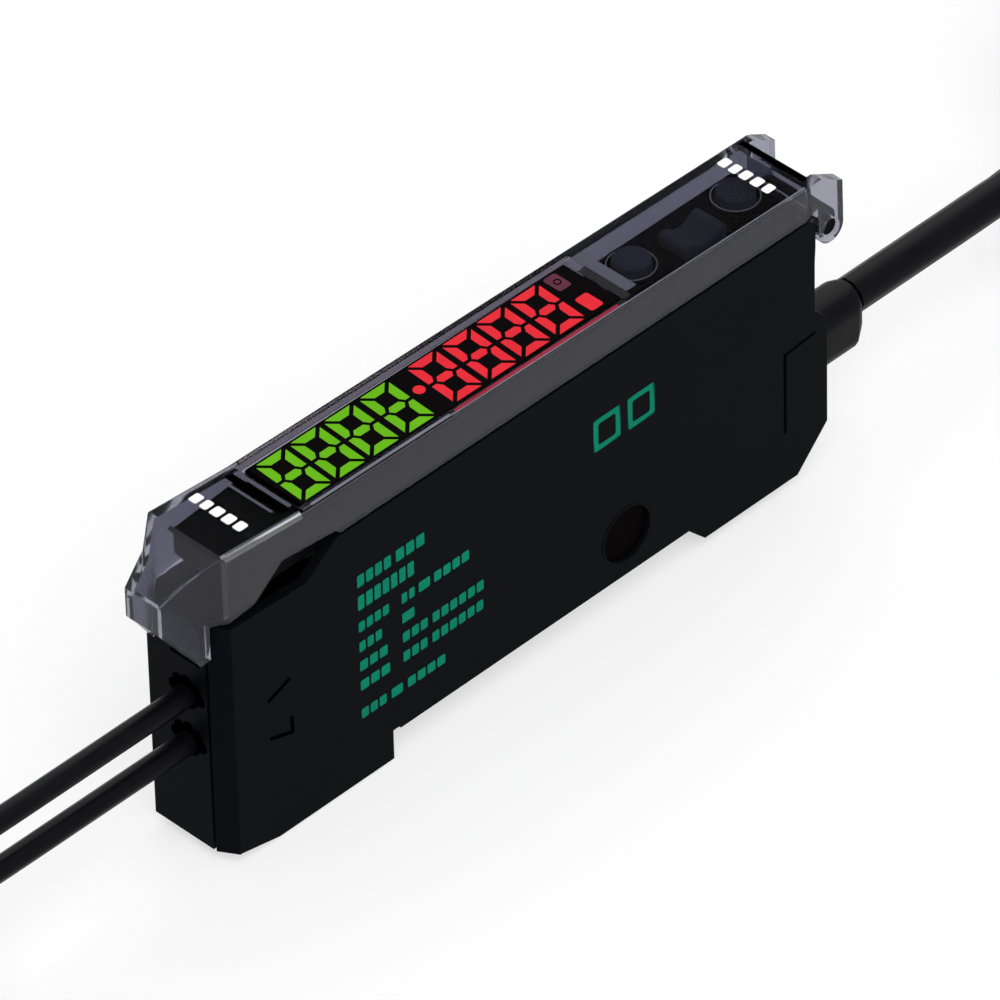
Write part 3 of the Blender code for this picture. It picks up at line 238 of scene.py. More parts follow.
# Each plastic has its darkest and its lightest tone
finishes = {
    "housing": mouldedPlastic("blackHousing", (0.0016, 0.0018, 0.0030), (0.0026, 0.0030, 0.0044),
                              roughness=0.5, gloss=0.02),
    "bezel": mouldedPlastic("blackBezel", (0.0010, 0.0010, 0.0016), (0.0018, 0.0018, 0.0024),
                            roughness=0.5, gloss=0.02),
    "key": mouldedPlastic("slateKey", (0.050, 0.055, 0.072), (0.060, 0.066, 0.085),
                          roughness=0.6, gloss=0.08),
    # painted highlight along the cover's near edge
    "lip": mouldedPlastic("paleLip", (0.130, 0.135, 0.165), (0.165, 0.170, 0.205),
                          roughness=0.5, gloss=0.05),
    # painted red light from the figures, on the cover's near edge
    "glow": mouldedPlastic("redGlow", (0.200, 0.016, 0.032), (0.270, 0.022, 0.045),
                           roughness=0.5, gloss=0.03),
    # painted highlight round the key wells
    "rim": mouldedPlastic("paleRim", (0.36, 0.37, 0.40), (0.44, 0.45, 0.48),
                          roughness=0.5, gloss=0.1),
    # painted highlights on the cover's ribs
    "rib": mouldedPlastic("greyRib", (0.050, 0.054, 0.074), (0.064, 0.068, 0.092),
                          roughness=0.5, gloss=0.05),
    "cover": clearPlastic("smokeCover", (0.37, 0.36, 0.42), refraction=1.05, roughness=0.0),
    # painted shade and painted reflection on the cover's walls: a darker tint and a higher refraction than
    # the top
    "coverWallShadeSheen": clearPlastic("smokeEdge", (0.32, 0.32, 0.39), refraction=1.26, roughness=0.06,
                              clearness=0.96),
    # painted shade on the display opening's far wall
    "coverShade": clearPlastic("smokeShade", (0.075, 0.065, 0.085), refraction=1.15, roughness=0.08),
    # painted highlight on the cover's near crease: a lighter tint and a higher refraction
    "coverCreaseHighlight": clearPlastic("smokeCrease", (0.62, 0.62, 0.68), refraction=1.62, roughness=0.04,
                                clearness=0.9),
    "window": mouldedPlastic("darkWindow", (0.0008, 0.0004, 0.0006), (0.0013, 0.0007, 0.0010),
                             roughness=0.4, gloss=0.006, grainScale=900.0),
    "green": litPlastic("greenLit", (0.150, 0.505, 0.012), strength=0.95),
    "red": litPlastic("redLit", (0.840, 0.030, 0.046), strength=0.95),
    "dim": litPlastic("dimLit", (0.150, 0.040, 0.070), strength=0.8),
    "board": circuitBoard("greenBoard"),
    "steel": turnedMetal("turnedSteel", (0.46, 0.46, 0.47), (0.62, 0.62, 0.63), roughness=0.28),
    "lens": clearPlastic("clearLens", (0.92, 0.94, 0.95), refraction=1.49, roughness=0.03),
    "jacket": mouldedPlastic("blackJacket", (0.0010, 0.0010, 0.0018), (0.0018, 0.0018, 0.0028),
                             roughness=0.38, gloss=0.07),
    "brown": mouldedPlastic("brownCore", (0.090, 0.032, 0.012), (0.120, 0.045, 0.018),
                            roughness=0.45, gloss=0.4),
    "blue": mouldedPlastic("blueCore", (0.010, 0.040, 0.250), (0.015, 0.055, 0.320),
                           roughness=0.45, gloss=0.4),
    "black": mouldedPlastic("blackCore", (0.008, 0.008, 0.009), (0.014, 0.014, 0.015),
                            roughness=0.45, gloss=0.4),
    "white": mouldedPlastic("whiteCore", (0.70, 0.70, 0.68), (0.80, 0.80, 0.78),
                            roughness=0.45, gloss=0.4),
    "tealInk": mouldedPlastic("tealInk", (0.0010, 0.165, 0.098), (0.0015, 0.200, 0.118),
                              roughness=0.6, gloss=0.03),
    "whiteInk": mouldedPlastic("whiteInk", (0.78, 0.78, 0.78), (0.86, 0.86, 0.86),
                               roughness=0.6, gloss=0.1),
    # black for print and marks, and painted shade in the cover's groove, along its hinge edge and round the
    # fibres
    "markInk": mouldedPlastic("markInk", (0.0001, 0.0001, 0.0002), (0.0003, 0.0003, 0.0004),
                              roughness=0.8, gloss=0.0),
    "copper": turnedMetal("strandCopper", (0.60, 0.24, 0.10), (0.75, 0.34, 0.16), roughness=0.3),
}
nodeFinish = {
    "base_housing": "housing", "side_cover": "housing", "hinged_cover": "cover",
    "top_bezel": "bezel", "display_window": "window", "green_digits": "green",
    "red_digits": "red", "output_lamp": "red", "lock_lamp": "dim",
    "set_button": "key", "mode_button": "key", "adjust_rocker": "key",
    "set_switch": "steel", "mode_switch": "steel", "down_switch": "steel", "up_switch": "steel",
    "key_board": "board", "main_board": "board", "fibre_guide": "bezel", "optical_block": "bezel",
    "light_emitter": "lens", "light_receiver": "window", "lock_lever": "key", "lever_pin": "steel",
    "near_link_window": "window", "far_link_window": "window",
    "link_emitter": "lens", "link_receiver": "window",
    "cable_gland": "jacket", "cable_terminal": "white",
    "core_brown": "brown", "core_blue": "blue", "core_black": "black", "core_white": "white",
    "emitter_head": "steel", "emitter_head_nut": "steel",
    "receiver_head": "steel", "receiver_head_nut": "steel",
    "cable_tie_near": "housing", "cable_tie_far": "housing",
    "fibre_tie_near": "housing", "fibre_tie_far": "housing",
}


def dress(obj, finish):
    obj.data.materials.clear()
    obj.data.materials.append(finishes[finish])
    return obj


for nodeName, finishName in nodeFinish.items():
    dress(nodes[nodeName], finishName)
print("finishes on", len(nodeFinish), "nodes")


# Cords: each is one line, with a lead from the amplifier, a hank in line with it, and a tail
cordSettings = {
    "spacing": 2.0,      # mm between the points of a lead or a tail
    "roundness": 3,
    "innerRun": 3,      # diameters from the middle of a hank to its innermost run
    "bendSteps": 12,
    "bendStart": 3,      # the step of the last bend at which a turn moves over to its next place
}


def smoothRoute(route):
    dense = []
    ends = [route[0]] + list(route) + [route[-1]]
    for index in range(1, len(ends) - 2):
        before, first, second, after = (Vector(ends[index + shift]) for shift in (-1, 0, 1, 2))
        steps = max(2, round((second - first).length / cordSettings["spacing"]))
        for step in range(steps):
            t = step / steps
            dense.append(0.5 * (2 * first + (second - before) * t
                                + (2 * before - 5 * first + 4 * second - after) * t * t
                                + (3 * first - before - 3 * second + after) * t ** 3))
    dense.append(Vector(route[-1]))
    return dense


# One turn of a hank: along the near run, round the far end, back and round the near end
def hankTurn(hank, place, nextPlace):
    (radius, height), (nextRadius, nextHeight) = place, nextPlace
    near, far = hank["ends"]
    runSteps, bendSteps, bendStart = hank["runSteps"], cordSettings["bendSteps"], cordSettings["bendStart"]
    bendAngle = math.copysign(180 / bendSteps, far - near)
    points = [Vector((near + (far - near) * step / runSteps, -radius, height))
              for step in range(runSteps)]
    for step in range(bendSteps):
        angle = math.radians(step * bendAngle - 90)
        points.append(Vector((far + radius * math.cos(angle), radius * math.sin(angle), height)))
    points += [Vector((far + (near - far) * step / runSteps, radius, height))
               for step in range(runSteps)]
    for step in range(bendSteps):
        angle = math.radians(step * bendAngle + 90)
        move = max(0.0, (step - bendStart) / (bendSteps - bendStart))
        move = move * move * (3 - 2 * move)
        bend = radius + (nextRadius - radius) * move
        points.append(Vector((near + bend * math.cos(angle), bend * math.sin(angle),
                              height + (nextHeight - height) * move)))
    return points


# Rows run from the outside in and back again, layer by layer
def hankPlace(hank, turn):
    layer, place = divmod(turn, hank["rows"])
    row = hank["rows"] - 1 - place if layer % 2 == 0 else place
    return ((cordSettings["innerRun"] + row) * hank["diameter"],
            hank["low"] + (layer + 0.5) * hank["diameter"])


def hankTurns(hank):
    points = []
    last = hank["rows"] * hank["layers"] - 1      # the last turn of a full hank has nowhere to move
    for turn in range(hank["turns"]):
        place = hankPlace(hank, turn)
        points += hankTurn(hank, place, place if turn == last else hankPlace(hank, turn + 1))
    return points


def hankTop(hank):
    return hank["low"] + (hank["layers"] - 0.5) * hank["diameter"]


def makeCord(name, points, diameter):
    line = bpy.data.curves.new(name, "CURVE")
    line.dimensions = "3D"
    line.bevel_depth = diameter / 2000
    line.bevel_resolution = cordSettings["roundness"]
    line.use_fill_caps = True
    spline = line.splines.new("POLY")
    spline.points.add(len(points) - 1)
    for knot, point in zip(spline.points, points):
        knot.co = (*spot(*point), 1.0)
    spline.use_smooth = True
    cord = bpy.data.objects.new(name, line)
    scene.collection.objects.link(cord)
    dress(cord, "jacket")
    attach(cord, "amplifier")
    return cord


fibreSettings = {
    "diameter": 2.1,
    "seat": 10.7,
    "ends": (-48.85, -64.15),      # the middles of the hank's two bends
    "runSteps": 4,
    "rows": 5,
    "layers": 4,
    "side": -14.7,      # the outermost run on the near side
    "emitter": {"height": 16.45, "low": 9.45, "turns": 20},
    "receiver": {"height": 11.35, "low": 0.75, "turns": 19},
    "headX": -82.4,      # of the receiver's head, which lies beside the hank
}


def fibreLead(hank):
    height, near, side = hank["height"], hank["ends"][0], hank["side"]
    rest = hank["low"] + hank["diameter"] / 2
    drop = height - rest
    return [(hank["seat"], 0.0, height), (0.0, 0.0, height), (-12.0, 0.0, height), (-18.0, 0.0, height),
            (-23.6, 0.0, height), (-25.6, -0.1, height - 0.1), (-29.6, -3.0, rest + drop * 0.70),
            (-33.8, -8.6, rest + drop * 0.20), (-38.4, -13.3, rest), (-42.9, -15.0, rest),
            (near, side, rest)]


def roundPoints(middle, places):      # each place is an angle, a radius and a height
    return [(middle + radius * math.cos(math.radians(angle)), radius * math.sin(math.radians(angle)), height)
            for angle, radius, height in places]


# Over the top of the hank and into the head that lies on it
def emitterTail(hank):
    near, far = hank["ends"]
    side, top = hank["side"], hankTop(hank)
    return ([(near, side, top), (near - 4.2, side, top), (-58.0, -13.6, top + 0.9), (far, -11.6, top + 2.1)]
            + roundPoints(far, ((-120, 10.8, top + 2.3), (-150, 10.8, top + 2.35), (-180, 10.8, top + 2.6),
                                (-210, 10.8, top + 3.1), (-240, 10.8, top + 3.8)))
            + [(far - 1.6, 10.5, top + 4.1), (far + 1.2, 10.5, top + 4.1)])


# Off the hank's end and down into the head beside it
def receiverTail(hank):
    near, far = hank["ends"]
    side, top = hank["side"], hankTop(hank)
    return ([(near, side, top), (near - 7.0, side, top), (far, side, top)]
            + roundPoints(far, ((-105, 15.2, top), (-120, 16.1, 8.0), (-135, 17.0, 7.2),
                                (-150, 17.7, 5.6), (-165, 18.2, 3.9)))
            + [(hank["headX"], -1.2, 3.05), (hank["headX"], 3.0, 3.0)])


def makeFibre(label, settings, tail):
    hank = {**settings, **settings[label]}
    points = smoothRoute(fibreLead(hank))[:-1] + hankTurns(hank) + smoothRoute(tail(hank))
    cord = makeCord(f"{label}FibreCord", points, hank["diameter"])
    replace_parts(cord, f"{label}_fibre", f"{label}_fibre_coil")


makeFibre("emitter", fibreSettings, emitterTail)
makeFibre("receiver", fibreSettings, receiverTail)


# Bare copper at the end of each core
tipSettings = {
    "radius": 0.32,
    "corners": 16,
    "length": 4.6,
    "overlap": 0.3,      # how far it reaches into the core
    "edge": 0.08,
    "edgeSegments": 2,
    "smoothAngle": 40.0,
    "height": 19.05,
    "ends": {"brown": (178.3, -14.27), "blue": (177.7, -12.96),
             "black": (177.1, -11.66), "white": (176.5, -10.35)},
}


def makeTip(colour, settings):
    x, y = settings["ends"][colour]
    middle = x - settings["overlap"] + settings["length"] / 2
    clearSelection()
    bpy.ops.mesh.primitive_cylinder_add(vertices=settings["corners"], radius=settings["radius"] / 1000,
                                        depth=settings["length"] / 1000,
                                        location=spot(middle, y, settings["height"]),
                                        rotation=(0.0, math.pi / 2, 0.0))
    tip = settle(bpy.context.object)
    tip.name = f"{colour}Strands"
    tip.data.name = tip.name
    startEdit(tip)
    bpy.ops.mesh.bevel(offset=settings["edge"] / 1000, segments=settings["edgeSegments"],
                       offset_type="OFFSET")
    bpy.ops.object.mode_set(mode="OBJECT")
    bpy.ops.object.shade_smooth_by_angle(angle=math.radians(settings["smoothAngle"]))
    dress(tip, "copper")
    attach(tip, "amplifier")
    return tip


cableSettings = {
    "diameter": 3.5,
    "exitX": 79.1,
    "height": 11.5,
    "low": 0.75,
    "ends": (126.15, 178.65),
    "runSteps": 10,
    "rows": 2,
    "layers": 5,
    "turns": 10,
    "cores": ("brown", "blue", "black", "white"),
}


def cableLead(hank):
    height, near = hank["height"], hank["ends"][0]
    rest = hank["low"] + hank["diameter"] / 2
    return [(hank["exitX"], 0.0, height), (84.8, 0.0, height), (92.0, 0.0, height), (98.2, 0.0, height),
            (100.4, -0.2, 11.2), (105.4, -3.2, 8.0), (109.9, -8.2, 4.2), (112.5, -11.2, rest + 0.1),
            (114.8, -13.9, rest), (119.5, -15.3, rest), (near, -14.0, rest)]


def cableTail(hank):
    near, top = hank["ends"][0], hankTop(hank)
    return [(near, -10.5, top), (near + 4.0, -10.5, top), (near + 8.0, -10.5, top),
            (138.0, -10.9, top + 0.8), (144.0, -11.7, top + 2.6), (150.0, -12.2, top + 3.5),
            (158.0, -12.25, top + 3.5)]


def makePowerCable(settings):
    points = smoothRoute(cableLead(settings))[:-1] + hankTurns(settings) + smoothRoute(cableTail(settings))
    cord = makeCord("powerCableCord", points, settings["diameter"])
    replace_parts(cord, "power_cable", "power_cable_coil")
    pieces = [nodes[f"core_{colour}"] for colour in settings["cores"]]
    pieces += [makeTip(colour, tipSettings) for colour in settings["cores"]]
    pieces += [nodes["cable_tie_near"], nodes["cable_tie_far"]]


makePowerCable(cableSettings)


# Shells: a merged copy of a CAD node, with soft edges, stands in its place
softSettings = {
    "mergeWithin": 0.002,
    "flatAngle": 0.6,
    "edgeAngle": 28.0,
    "edgeSegments": 2,
    "smoothAngle": 38.0,
    "pieces": {      # the piece's name, its body and the width of its soft edges
        "base_housing": ("housingShell", "amplifier", 0.16),
        "side_cover": ("sideShell", "amplifier", 0.14),
        "hinged_cover": ("smokeLid", "cover", 0.08),
        "top_bezel": ("blackFrame", "amplifier", 0.08),
        "set_button": ("setKeyCap", "set_key", 0.12),
        "mode_button": ("modeKeyCap", "mode_key", 0.12),
        "adjust_rocker": ("rockerCap", "rocker", 0.12),
        "lock_lever": ("fibreLever", "lever", 0.08),
        "cable_gland": ("cableOutlet", "amplifier", 0.14),
    },
}


def softCopy(nodeName, settings):
    pieceName, body, width = settings["pieces"][nodeName]
    source = nodes[nodeName]
    piece = bpy.data.objects.new(pieceName, source.data.copy())
    scene.collection.objects.link(piece)
    piece.matrix_world = source.matrix_world.copy()
    startEdit(settle(piece))
    bpy.ops.mesh.remove_doubles(threshold=settings["mergeWithin"] / 1000)
    bpy.ops.mesh.dissolve_limited(angle_limit=math.radians(settings["flatAngle"]), delimit=set())
    bpy.ops.object.mode_set(mode="OBJECT")
    bevel = piece.modifiers.new("softEdges", "BEVEL")
    bevel.width = width / 1000
    bevel.segments = settings["edgeSegments"]
    bevel.limit_method = "ANGLE"
    bevel.angle_limit = math.radians(settings["edgeAngle"])
    bevel.use_clamp_overlap = True
    bevel.miter_outer = "MITER_ARC"
    bpy.ops.object.modifier_apply(modifier=bevel.name)
    bpy.ops.object.shade_smooth_by_angle(angle=math.radians(settings["smoothAngle"]))
    weighted = piece.modifiers.new("flatFaces", "WEIGHTED_NORMAL")
    weighted.keep_sharp = True
    bpy.ops.object.modifier_apply(modifier=weighted.name)
    dress(piece, nodeFinish[nodeName])
    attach(piece, body)
    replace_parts(piece, nodeName)


for nodeName in softSettings["pieces"]:
    softCopy(nodeName, softSettings)


# The smoke cover's walls carry painted shade and a stronger painted reflection than its flat top, its display
# opening's far wall carries painted shade, and its near crease a painted highlight
lidSettings = {
    "wallSlope": 0.9,      # a face whose normal rises less than this is a wall
    "shadePlace": (3.4, 30.5),      # the opening's far wall lies past this y and z
    "shadeFacing": -0.8,
    "creaseSlope": (0.25, 0.97),
    "creaseFacing": -0.15,
    "creaseSide": -3.0,
    "creaseArea": 4.0,      # mm2
}


def isWall(face):
    return abs(face.normal.z) < lidSettings["wallSlope"]


def isShade(face):
    side, height = lidSettings["shadePlace"]
    return (face.center.y > side / 1000 and face.center.z > height / 1000
            and face.normal.y < lidSettings["shadeFacing"])


def isCrease(face):
    low, high = lidSettings["creaseSlope"]
    return (low < face.normal.z < high and face.normal.y < lidSettings["creaseFacing"]
            and face.center.y < lidSettings["creaseSide"] / 1000
            and face.area < lidSettings["creaseArea"] / 1000000)


def splitFinish(pieceName, finish, chosen):
    piece = bpy.data.objects[pieceName]
    piece.data.materials.append(finishes[finish])
    for face in piece.data.polygons:
        if chosen(face):
            face.material_index = len(piece.data.materials) - 1


for finishName, chosen in (("coverWallShadeSheen", isWall), ("coverShade", isShade), ("coverCreaseHighlight", isCrease)):
    splitFinish("smokeLid", finishName, chosen)
print("shells softened:", len(softSettings["pieces"]))


# Fields: small flat shapes, each raised a little from what carries it
upward = (0.0, 0.0, 0.0)
nearSide = (math.pi / 2, 0.0, 0.0)
farSide = (-math.pi / 2, 0.0, 0.0)
inkThickness = 0.03
cornerSegments = 3


def startBar(size, location, facing):
    clearSelection()
    bpy.ops.mesh.primitive_plane_add(size=0.001, location=location, rotation=facing)
    bar = bpy.context.object
    bar.scale = (*size, 1.0)
    return settle(bar)


def startDisc(corners, radius, location, facing):
    clearSelection()
    bpy.ops.mesh.primitive_circle_add(vertices=corners, radius=radius / 1000, fill_type="NGON",
                                      location=location, rotation=facing)
    return settle(bpy.context.object)


def openMiddle(width):      # leaves a rim of this width
    bpy.ops.mesh.inset(thickness=width / 1000, depth=0.0)
    bpy.ops.mesh.delete(type="FACE")
    bpy.ops.mesh.select_all(action="SELECT")


def raiseFaces(thickness):
    bpy.ops.mesh.select_all(action="SELECT")
    bpy.ops.mesh.extrude_region_shrink_fatten(TRANSFORM_OT_shrink_fatten={"value": thickness / 1000})
    endEdit()


def finishBar(bar, corner, rim=0.0):
    startEdit(bar)
    if rim:
        openMiddle(rim)
    bpy.ops.mesh.bevel(offset=corner / 1000, segments=cornerSegments, affect="VERTICES")
    raiseFaces(inkThickness)
    return bar


def joinBars(bars, name, finish, body):
    clearSelection()
    for bar in bars:
        bar.select_set(True)
    bpy.context.view_layer.objects.active = bars[0]
    bpy.ops.object.join()
    piece = settle(bpy.context.object)
    piece.name = name
    piece.data.name = name
    dress(piece, finish)
    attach(piece, body)
    return piece


# Print on the near side: rows of small plain fields, and two open frames
sideInk = {
    "face": -4.5,
    "rows": (      # height of the row's foot, height of its bars, and where each bar starts and ends
        (20.95, 1.25, ((15.4, 19.3), (19.9, 23.2))),
        (18.45, 1.5, ((15.4, 21.9),)),
        (16.1, 1.05, ((15.4, 18.9), (20.4, 21.9), (22.4, 23.7), (24.2, 28.3))),
        (13.95, 1.05, ((15.4, 18.0), (20.4, 21.8))),
        (11.85, 1.05, ((15.4, 18.6), (20.4, 23.3), (23.9, 29.9))),
        (9.75, 1.05, ((15.4, 18.8), (20.4, 23.2), (23.8, 29.8))),
        (6.7, 1.0, ((15.4, 18.3), (18.9, 20.2), (20.8, 25.2))),
    ),
    "cell": 0.98,      # each bar is cut into fields about this long
    "cellGap": 0.24,
    "corner": 0.14,
    "frames": ((43.2, 46.4), (47.3, 50.5)),
    "frameHeights": (18.4, 21.8),
    "frameCorner": 0.25,
    "frameRim": 0.55,
}


def printSide(settings):
    face, gap = settings["face"], settings["cellGap"]
    bars = []
    for foot, tall, spans in settings["rows"]:
        for start, end in spans:
            count = max(1, round((end - start) / settings["cell"]))
            pitch = (end - start + gap) / count
            for cell in range(count):
                middle = start + (cell + 0.5) * pitch - gap / 2
                bar = startBar((pitch - gap, tall), spot(middle, face, foot + tall / 2), nearSide)
                bars.append(finishBar(bar, settings["corner"]))
    low, high = settings["frameHeights"]
    for start, end in settings["frames"]:
        bar = startBar((end - start, high - low), spot((start + end) / 2, face, (low + high) / 2), nearSide)
        bars.append(finishBar(bar, settings["frameCorner"], settings["frameRim"]))
    joinBars(bars, "sidePrint", "tealInk", "amplifier")
    print("side printed with", len(bars), "fields")


printSide(sideInk)


# Lit figures and lamps: flat segments on the dark window, which leans a little to the rear
figureSettings = {
    "windowStart": 10.4,
    "lean": -0.0107,
    "sunk": 0.02,      # how much of a segment's thickness is in the window
    "thickness": 0.05,
    "halfWidth": 1.68,
    "halfHeight": 3.02,
    "stroke": 0.86,
    "mitre": 0.27,      # how far each segment stays from the corner
    "notch": 0.1,      # how far the middle segment's points stay from the side segments
    "halfGap": 0.2,      # between an upper and a lower side segment
    "slant": 0.35,
    "greenCentres": (12.95, 16.89, 20.82, 24.92),
    "redCentres": (30.49, 34.53, 38.53, 42.57),
    "dot": (27.8, 0.3, 0.55),
    "dotCorners": 16,
}
lampSettings = {
    "x": 45.75,
    "outputY": -1.75,
    "lockY": 1.95,
    "halfLength": 0.72,
    "halfWidth": 1.05,
    "corner": 0.25,
    "cornerSteps": 3,
}
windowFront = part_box("display_window")[1][2] * 1000


def windowTop(x):
    return windowFront + figureSettings["lean"] * (x - figureSettings["windowStart"])


# The seven segments of one figure, round its own middle
def segmentOutlines(settings):
    width, height, stroke = settings["halfWidth"], settings["halfHeight"], settings["stroke"]
    mitre, notch, gap = settings["mitre"], settings["notch"], settings["halfGap"]
    inner = width - stroke
    endBar = [(mitre - width, height), (width - mitre, height), (inner - mitre, height - stroke),
              (mitre - inner, height - stroke)]
    point = width - mitre - stroke / 2 - notch
    middle = [(-point, 0.0), (mitre - inner, stroke / 2), (inner - mitre, stroke / 2),
              (point, 0.0), (inner - mitre, -stroke / 2), (mitre - inner, -stroke / 2)]
    side = [(-width, height - mitre), (-inner, height - stroke - mitre), (-inner, stroke / 2 + mitre),
            (stroke / 2 - width + notch, gap), (-width, gap)]
    outlines = [endBar, [(x, -y) for x, y in endBar], middle]
    for flipX in (1, -1):
        for flipY in (1, -1):
            outlines.append([(flipX * x, flipY * y) for x, y in side])
    return outlines


def figureOutlines(centre, settings):
    slope = settings["slant"] / (2 * settings["halfHeight"])
    return [[(centre + x + y * slope, y) for x, y in outline] for outline in segmentOutlines(settings)]


def dotOutline(settings):
    x, y, radius = settings["dot"]
    angles = [step * 2 * math.pi / settings["dotCorners"] for step in range(settings["dotCorners"])]
    return [(x + radius * math.cos(angle), y + radius * math.sin(angle)) for angle in angles]


def lampOutline(y, settings):
    corner = settings["corner"]
    outline = []
    for quarter, (signX, signY) in enumerate(((1, 1), (-1, 1), (-1, -1), (1, -1))):
        middleX = settings["x"] + signX * (settings["halfLength"] - corner)
        middleY = y + signY * (settings["halfWidth"] - corner)
        for step in range(settings["cornerSteps"] + 1):
            angle = math.radians(90 * (quarter + step / settings["cornerSteps"]))
            outline.append((middleX + corner * math.cos(angle), middleY + corner * math.sin(angle)))
    return outline


def litShape(outlines, pieceName, nodeName, settings):
    bars = []
    for outline in outlines:
        bar = startDisc(len(outline), 0.5, spot(*outline[0], windowTop(outline[0][0])), upward)
        for vert, (x, y) in zip(bar.data.vertices, outline):      # the disc's corners go to the outline's
            vert.co = spot(x, y, windowTop(x) - settings["sunk"])
        startEdit(bar)
        bpy.ops.mesh.extrude_region_move(
            TRANSFORM_OT_translate={"value": (0.0, 0.0, settings["thickness"] / 1000)})
        endEdit()
        bars.append(bar)
    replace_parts(joinBars(bars, pieceName, nodeFinish[nodeName], "amplifier"), nodeName)


def makeFigures(settings, lamps):
    for centres, dots, pieceName, nodeName in (
            (settings["greenCentres"], [], "greenFigures", "green_digits"),
            (settings["redCentres"], [dotOutline(settings)], "redFigures", "red_digits")):
        outlines = [outline for centre in centres for outline in figureOutlines(centre, settings)]
        litShape(outlines + dots, pieceName, nodeName, settings)
    litShape([lampOutline(lamps["outputY"], lamps)], "outputMark", "output_lamp", settings)
    litShape([lampOutline(lamps["lockY"], lamps)], "lockMark", "lock_lamp", settings)


makeFigures(figureSettings, lampSettings)
print("figures lit")


# Two marks near the front, a slanted stroke and an angle, darker than the side
markSettings = {
    "face": -4.5,
    "width": 0.34,
    "corner": 0.12,
    "strokes": (((7.44, 16.25), (4.86, 15.24)), ((7.44, 12.1), (7.52, 10.2)),
                ((7.52, 10.35), (5.0, 11.15))),
}


def makeMarks(settings):
    bars = []
    for (x0, z0), (x1, z1) in settings["strokes"]:
        length = math.hypot(x1 - x0, z1 - z0)
        bar = startBar((length, settings["width"]), (0.0, 0.0, 0.0), nearSide)
        bar.rotation_euler = (0.0, -math.atan2(z1 - z0, x1 - x0), 0.0)
        bar.location = spot((x0 + x1) / 2, settings["face"], (z0 + z1) / 2)
        bars.append(finishBar(settle(bar), settings["corner"]))
    joinBars(bars, "sideMarks", "markInk", "amplifier")


makeMarks(markSettings)


# Two rows of plain white fields on the cover, before the display and over the rear key
coverInk = {
    "width": 1.15,
    "corner": 0.2,
    "gap": 0.01,      # under everything that lies on the cover
    "castHeight": 60.0,      # well above the cover
    "rows": ((4.7, ((-2.7, -1.8), (-1.45, -0.45), (-0.1, 0.9), (1.25, 2.05), (2.4, 3.3))),
             (66.9, ((-2.6, -1.75), (-1.35, -0.4), (0.0, 0.9), (1.25, 2.1), (2.45, 3.35)))),
}


def coverTop(x, y=0.0):      # height of the cover at a place, found on its own mesh from above
    lid = bpy.data.objects["smokeLid"]
    place = lid.ray_cast(spot(x, y, coverInk["castHeight"]), Vector((0.0, 0.0, -1.0)))[1]
    return place.z * 1000 + coverInk["gap"]


def printCover(settings):
    bars = []
    for x, spans in settings["rows"]:
        for start, end in spans:
            bar = startBar((settings["width"], end - start), spot(x, (start + end) / 2, coverTop(x)), upward)
            bars.append(finishBar(bar, settings["corner"]))
    joinBars(bars, "coverPrint", "whiteInk", "cover")


printCover(coverInk)
print("cover printed")


# Painted highlights on the ribs before and behind the display, painted shade in the groove and along the
# hinge edge, and the near edge's painted highlight with painted red light from the display in it, all on the
# cover's top
bandSettings = {
    "corner": 0.12,
    "bands": {      # the finish, and where each field starts and ends in x and in y
        "frontRib": ("rib", ((9.35, 9.75, -3.1, 3.1), (7.75, 8.05, -2.7, 2.6))),
        "frontGroove": ("markInk", ((8.35, 9.2, -3.3, 3.3),)),
        "rearRib": ("rib", ((48.7, 49.9, -3.2, 3.2),)),
        "hingeBand": ("markInk", ((69.6, 70.2, -3.6, 3.9),)),
        "nearLip": ("lip", ((1.2, 9.5, -4.12, -3.99), (10.9, 27.0, -4.2, -3.98), (27.0, 69.2, -4.24, -4.15))),
        "nearGlow": ("glow", ((27.6, 46.9, -4.14, -3.86),)),
    },
}


def makeBand(pieceName, settings):
    finish, fields = settings["bands"][pieceName]
    bars = []
    for start, end, near, far in fields:
        bar = startBar((end - start, far - near), spot((start + end) / 2, (near + far) / 2, 0.0), upward)
        for vert in bar.data.vertices:      # each corner lies on the cover's own slope
            vert.co.z = coverTop(vert.co.x * 1000 + midLength, vert.co.y * 1000) / 1000
        bars.append(finishBar(bar, settings["corner"]))
    joinBars(bars, pieceName, finish, "cover")


for bandName in bandSettings["bands"]:
    makeBand(bandName, bandSettings)


# Thin rings: painted highlights round each key's well, a ring on the lock lamp, and round the link window on
# both sides
ringSettings = {
    "corners": 48,
    "thickness": 0.05,
    "rings": {      # the finish, the middle, the radius, the width and the way it faces
        "setKeyRing": ("rim", (53.4, 0.8, 29.66), 2.2, 0.09, upward),
        "modeKeyRing": ("rim", (66.0, 0.8, 29.66), 2.2, 0.09, upward),
        "lockSymbol": ("markInk", (45.75, 1.95, windowTop(45.75) + 0.035), 0.36, 0.1, upward),
        "nearWindowRim": ("housing", (47.0, -4.5, 7.2), 2.98, 0.2, nearSide),
        "farWindowRim": ("housing", (47.0, 4.5, 7.2), 2.98, 0.2, farSide),
    },
}


def makeRing(pieceName, settings):
    finish, centre, radius, width, facing = settings["rings"][pieceName]
    ring = startDisc(settings["corners"], radius, spot(*centre), facing)
    startEdit(ring)
    openMiddle(width)
    raiseFaces(settings["thickness"])
    joinBars([ring], pieceName, finish, "amplifier")


for ringName in ringSettings["rings"]:
    makeRing(ringName, ringSettings)


# Dark lobes round each fibre on the front face, painted shadow of the fibres
lobeSettings = {
    "radius": 0.62,
    "corners": 24,
    "proud": 0.02,
    "thickness": 0.06,
    "fibres": (16.45, 11.35),
    "places": ((1.45, 0.35), (1.0, 1.15), (0.0, 1.5), (-1.05, 1.1), (-1.5, 0.2)),
}


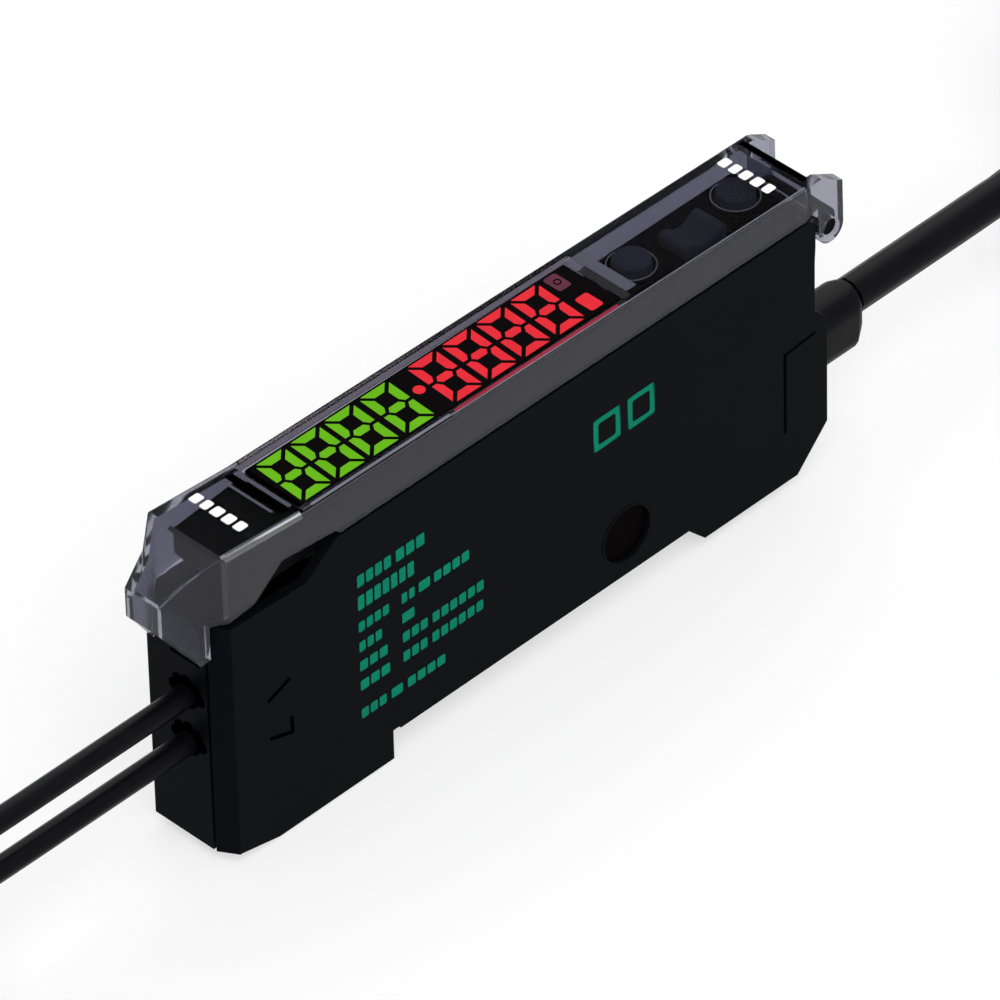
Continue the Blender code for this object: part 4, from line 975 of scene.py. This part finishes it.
def makeLobes(settings):
    lobes = []
    for fibreHeight in settings["fibres"]:
        for y, rise in settings["places"]:
            lobe = startDisc(settings["corners"], settings["radius"],
                             spot(-settings["proud"], y, fibreHeight + rise), (0.0, -math.pi / 2, 0.0))
            startEdit(lobe)
            bpy.ops.mesh.extrude_region_move(
                TRANSFORM_OT_translate={"value": (settings["thickness"] / 1000, 0.0, 0.0)})
            endEdit()
            lobes.append(lobe)
    joinBars(lobes, "fibreCutouts", "markInk", "amplifier")


makeLobes(lobeSettings)
print("bands, rings and painted-shadows fitted")


# Floor, light and world
studioSettings = {
    "floorSize": 6.0,
    "floorHeight": -0.0002,
    "floorColour": (0.86, 0.86, 0.86, 1.0),
    "floorWhite": 0.6,      # share of plain white in the floor as it is seen
    "worldStrength": 0.55,
    "lampSize": 0.9,
    "lamps": {      # place and power
        "keySoftbox": ((-0.35, -0.55, 0.85), 9.0),
        "fillSoftbox": ((0.55, 0.45, 0.75), 4.0),
    },
}
white = (1.0, 1.0, 1.0, 1.0)


def addSeen(tree):      # 1 for what the camera sees, itself, in a gloss or through the cover
    path = tree.nodes.new("ShaderNodeLightPath")
    seen = path.outputs["Is Camera Ray"]
    for ray in ("Is Glossy Ray", "Is Transmission Ray"):
        either = tree.nodes.new("ShaderNodeMath")
        either.operation = "MAXIMUM"
        tree.links.new(seen, either.inputs[0])
        tree.links.new(path.outputs[ray], either.inputs[1])
        seen = either.outputs[0]
    return seen


def makeFloor(settings):
    bpy.ops.mesh.primitive_plane_add(size=settings["floorSize"], location=(0.0, 0.0, settings["floorHeight"]))
    floor = bpy.context.object
    floor.name = "studioFloor"
    finish, tree, shader = startFinish("paleFloor")[:3]
    shader.inputs["Base Color"].default_value = settings["floorColour"]
    shader.inputs["Roughness"].default_value = 0.9
    shader.inputs["Specular IOR Level"].default_value = 0.0
    plain = tree.nodes.new("ShaderNodeEmission")
    plain.inputs["Color"].default_value = white
    mix = tree.nodes.new("ShaderNodeMixShader")
    addRange(tree, addSeen(tree), mix.inputs["Fac"], 0.0, settings["floorWhite"], span=(0.0, 1.0))
    tree.links.new(shader.outputs[0], mix.inputs[1])
    tree.links.new(plain.outputs[0], mix.inputs[2])
    tree.links.new(mix.outputs[0], tree.nodes["Material Output"].inputs["Surface"])
    floor.data.materials.append(finish)


def makeWorld(settings):
    world = bpy.data.worlds.new("softWorld")
    scene.world = world
    world.use_nodes = True
    tree = world.node_tree
    sky = tree.nodes["Background"]
    sky.inputs["Color"].default_value = white
    addRange(tree, addSeen(tree), sky.inputs["Strength"], settings["worldStrength"], 1.0, span=(0.0, 1.0))


def makeLamps(settings):
    for name, (location, power) in settings["lamps"].items():
        bpy.ops.object.light_add(type="AREA", location=location)
        lamp = bpy.context.object
        lamp.name = name
        lamp.data.size = settings["lampSize"]
        lamp.data.energy = power
        lamp.rotation_euler = Vector(location).to_track_quat("Z", "Y").to_euler()


makeFloor(studioSettings)
makeWorld(studioSettings)
makeLamps(studioSettings)
print("studio lit")
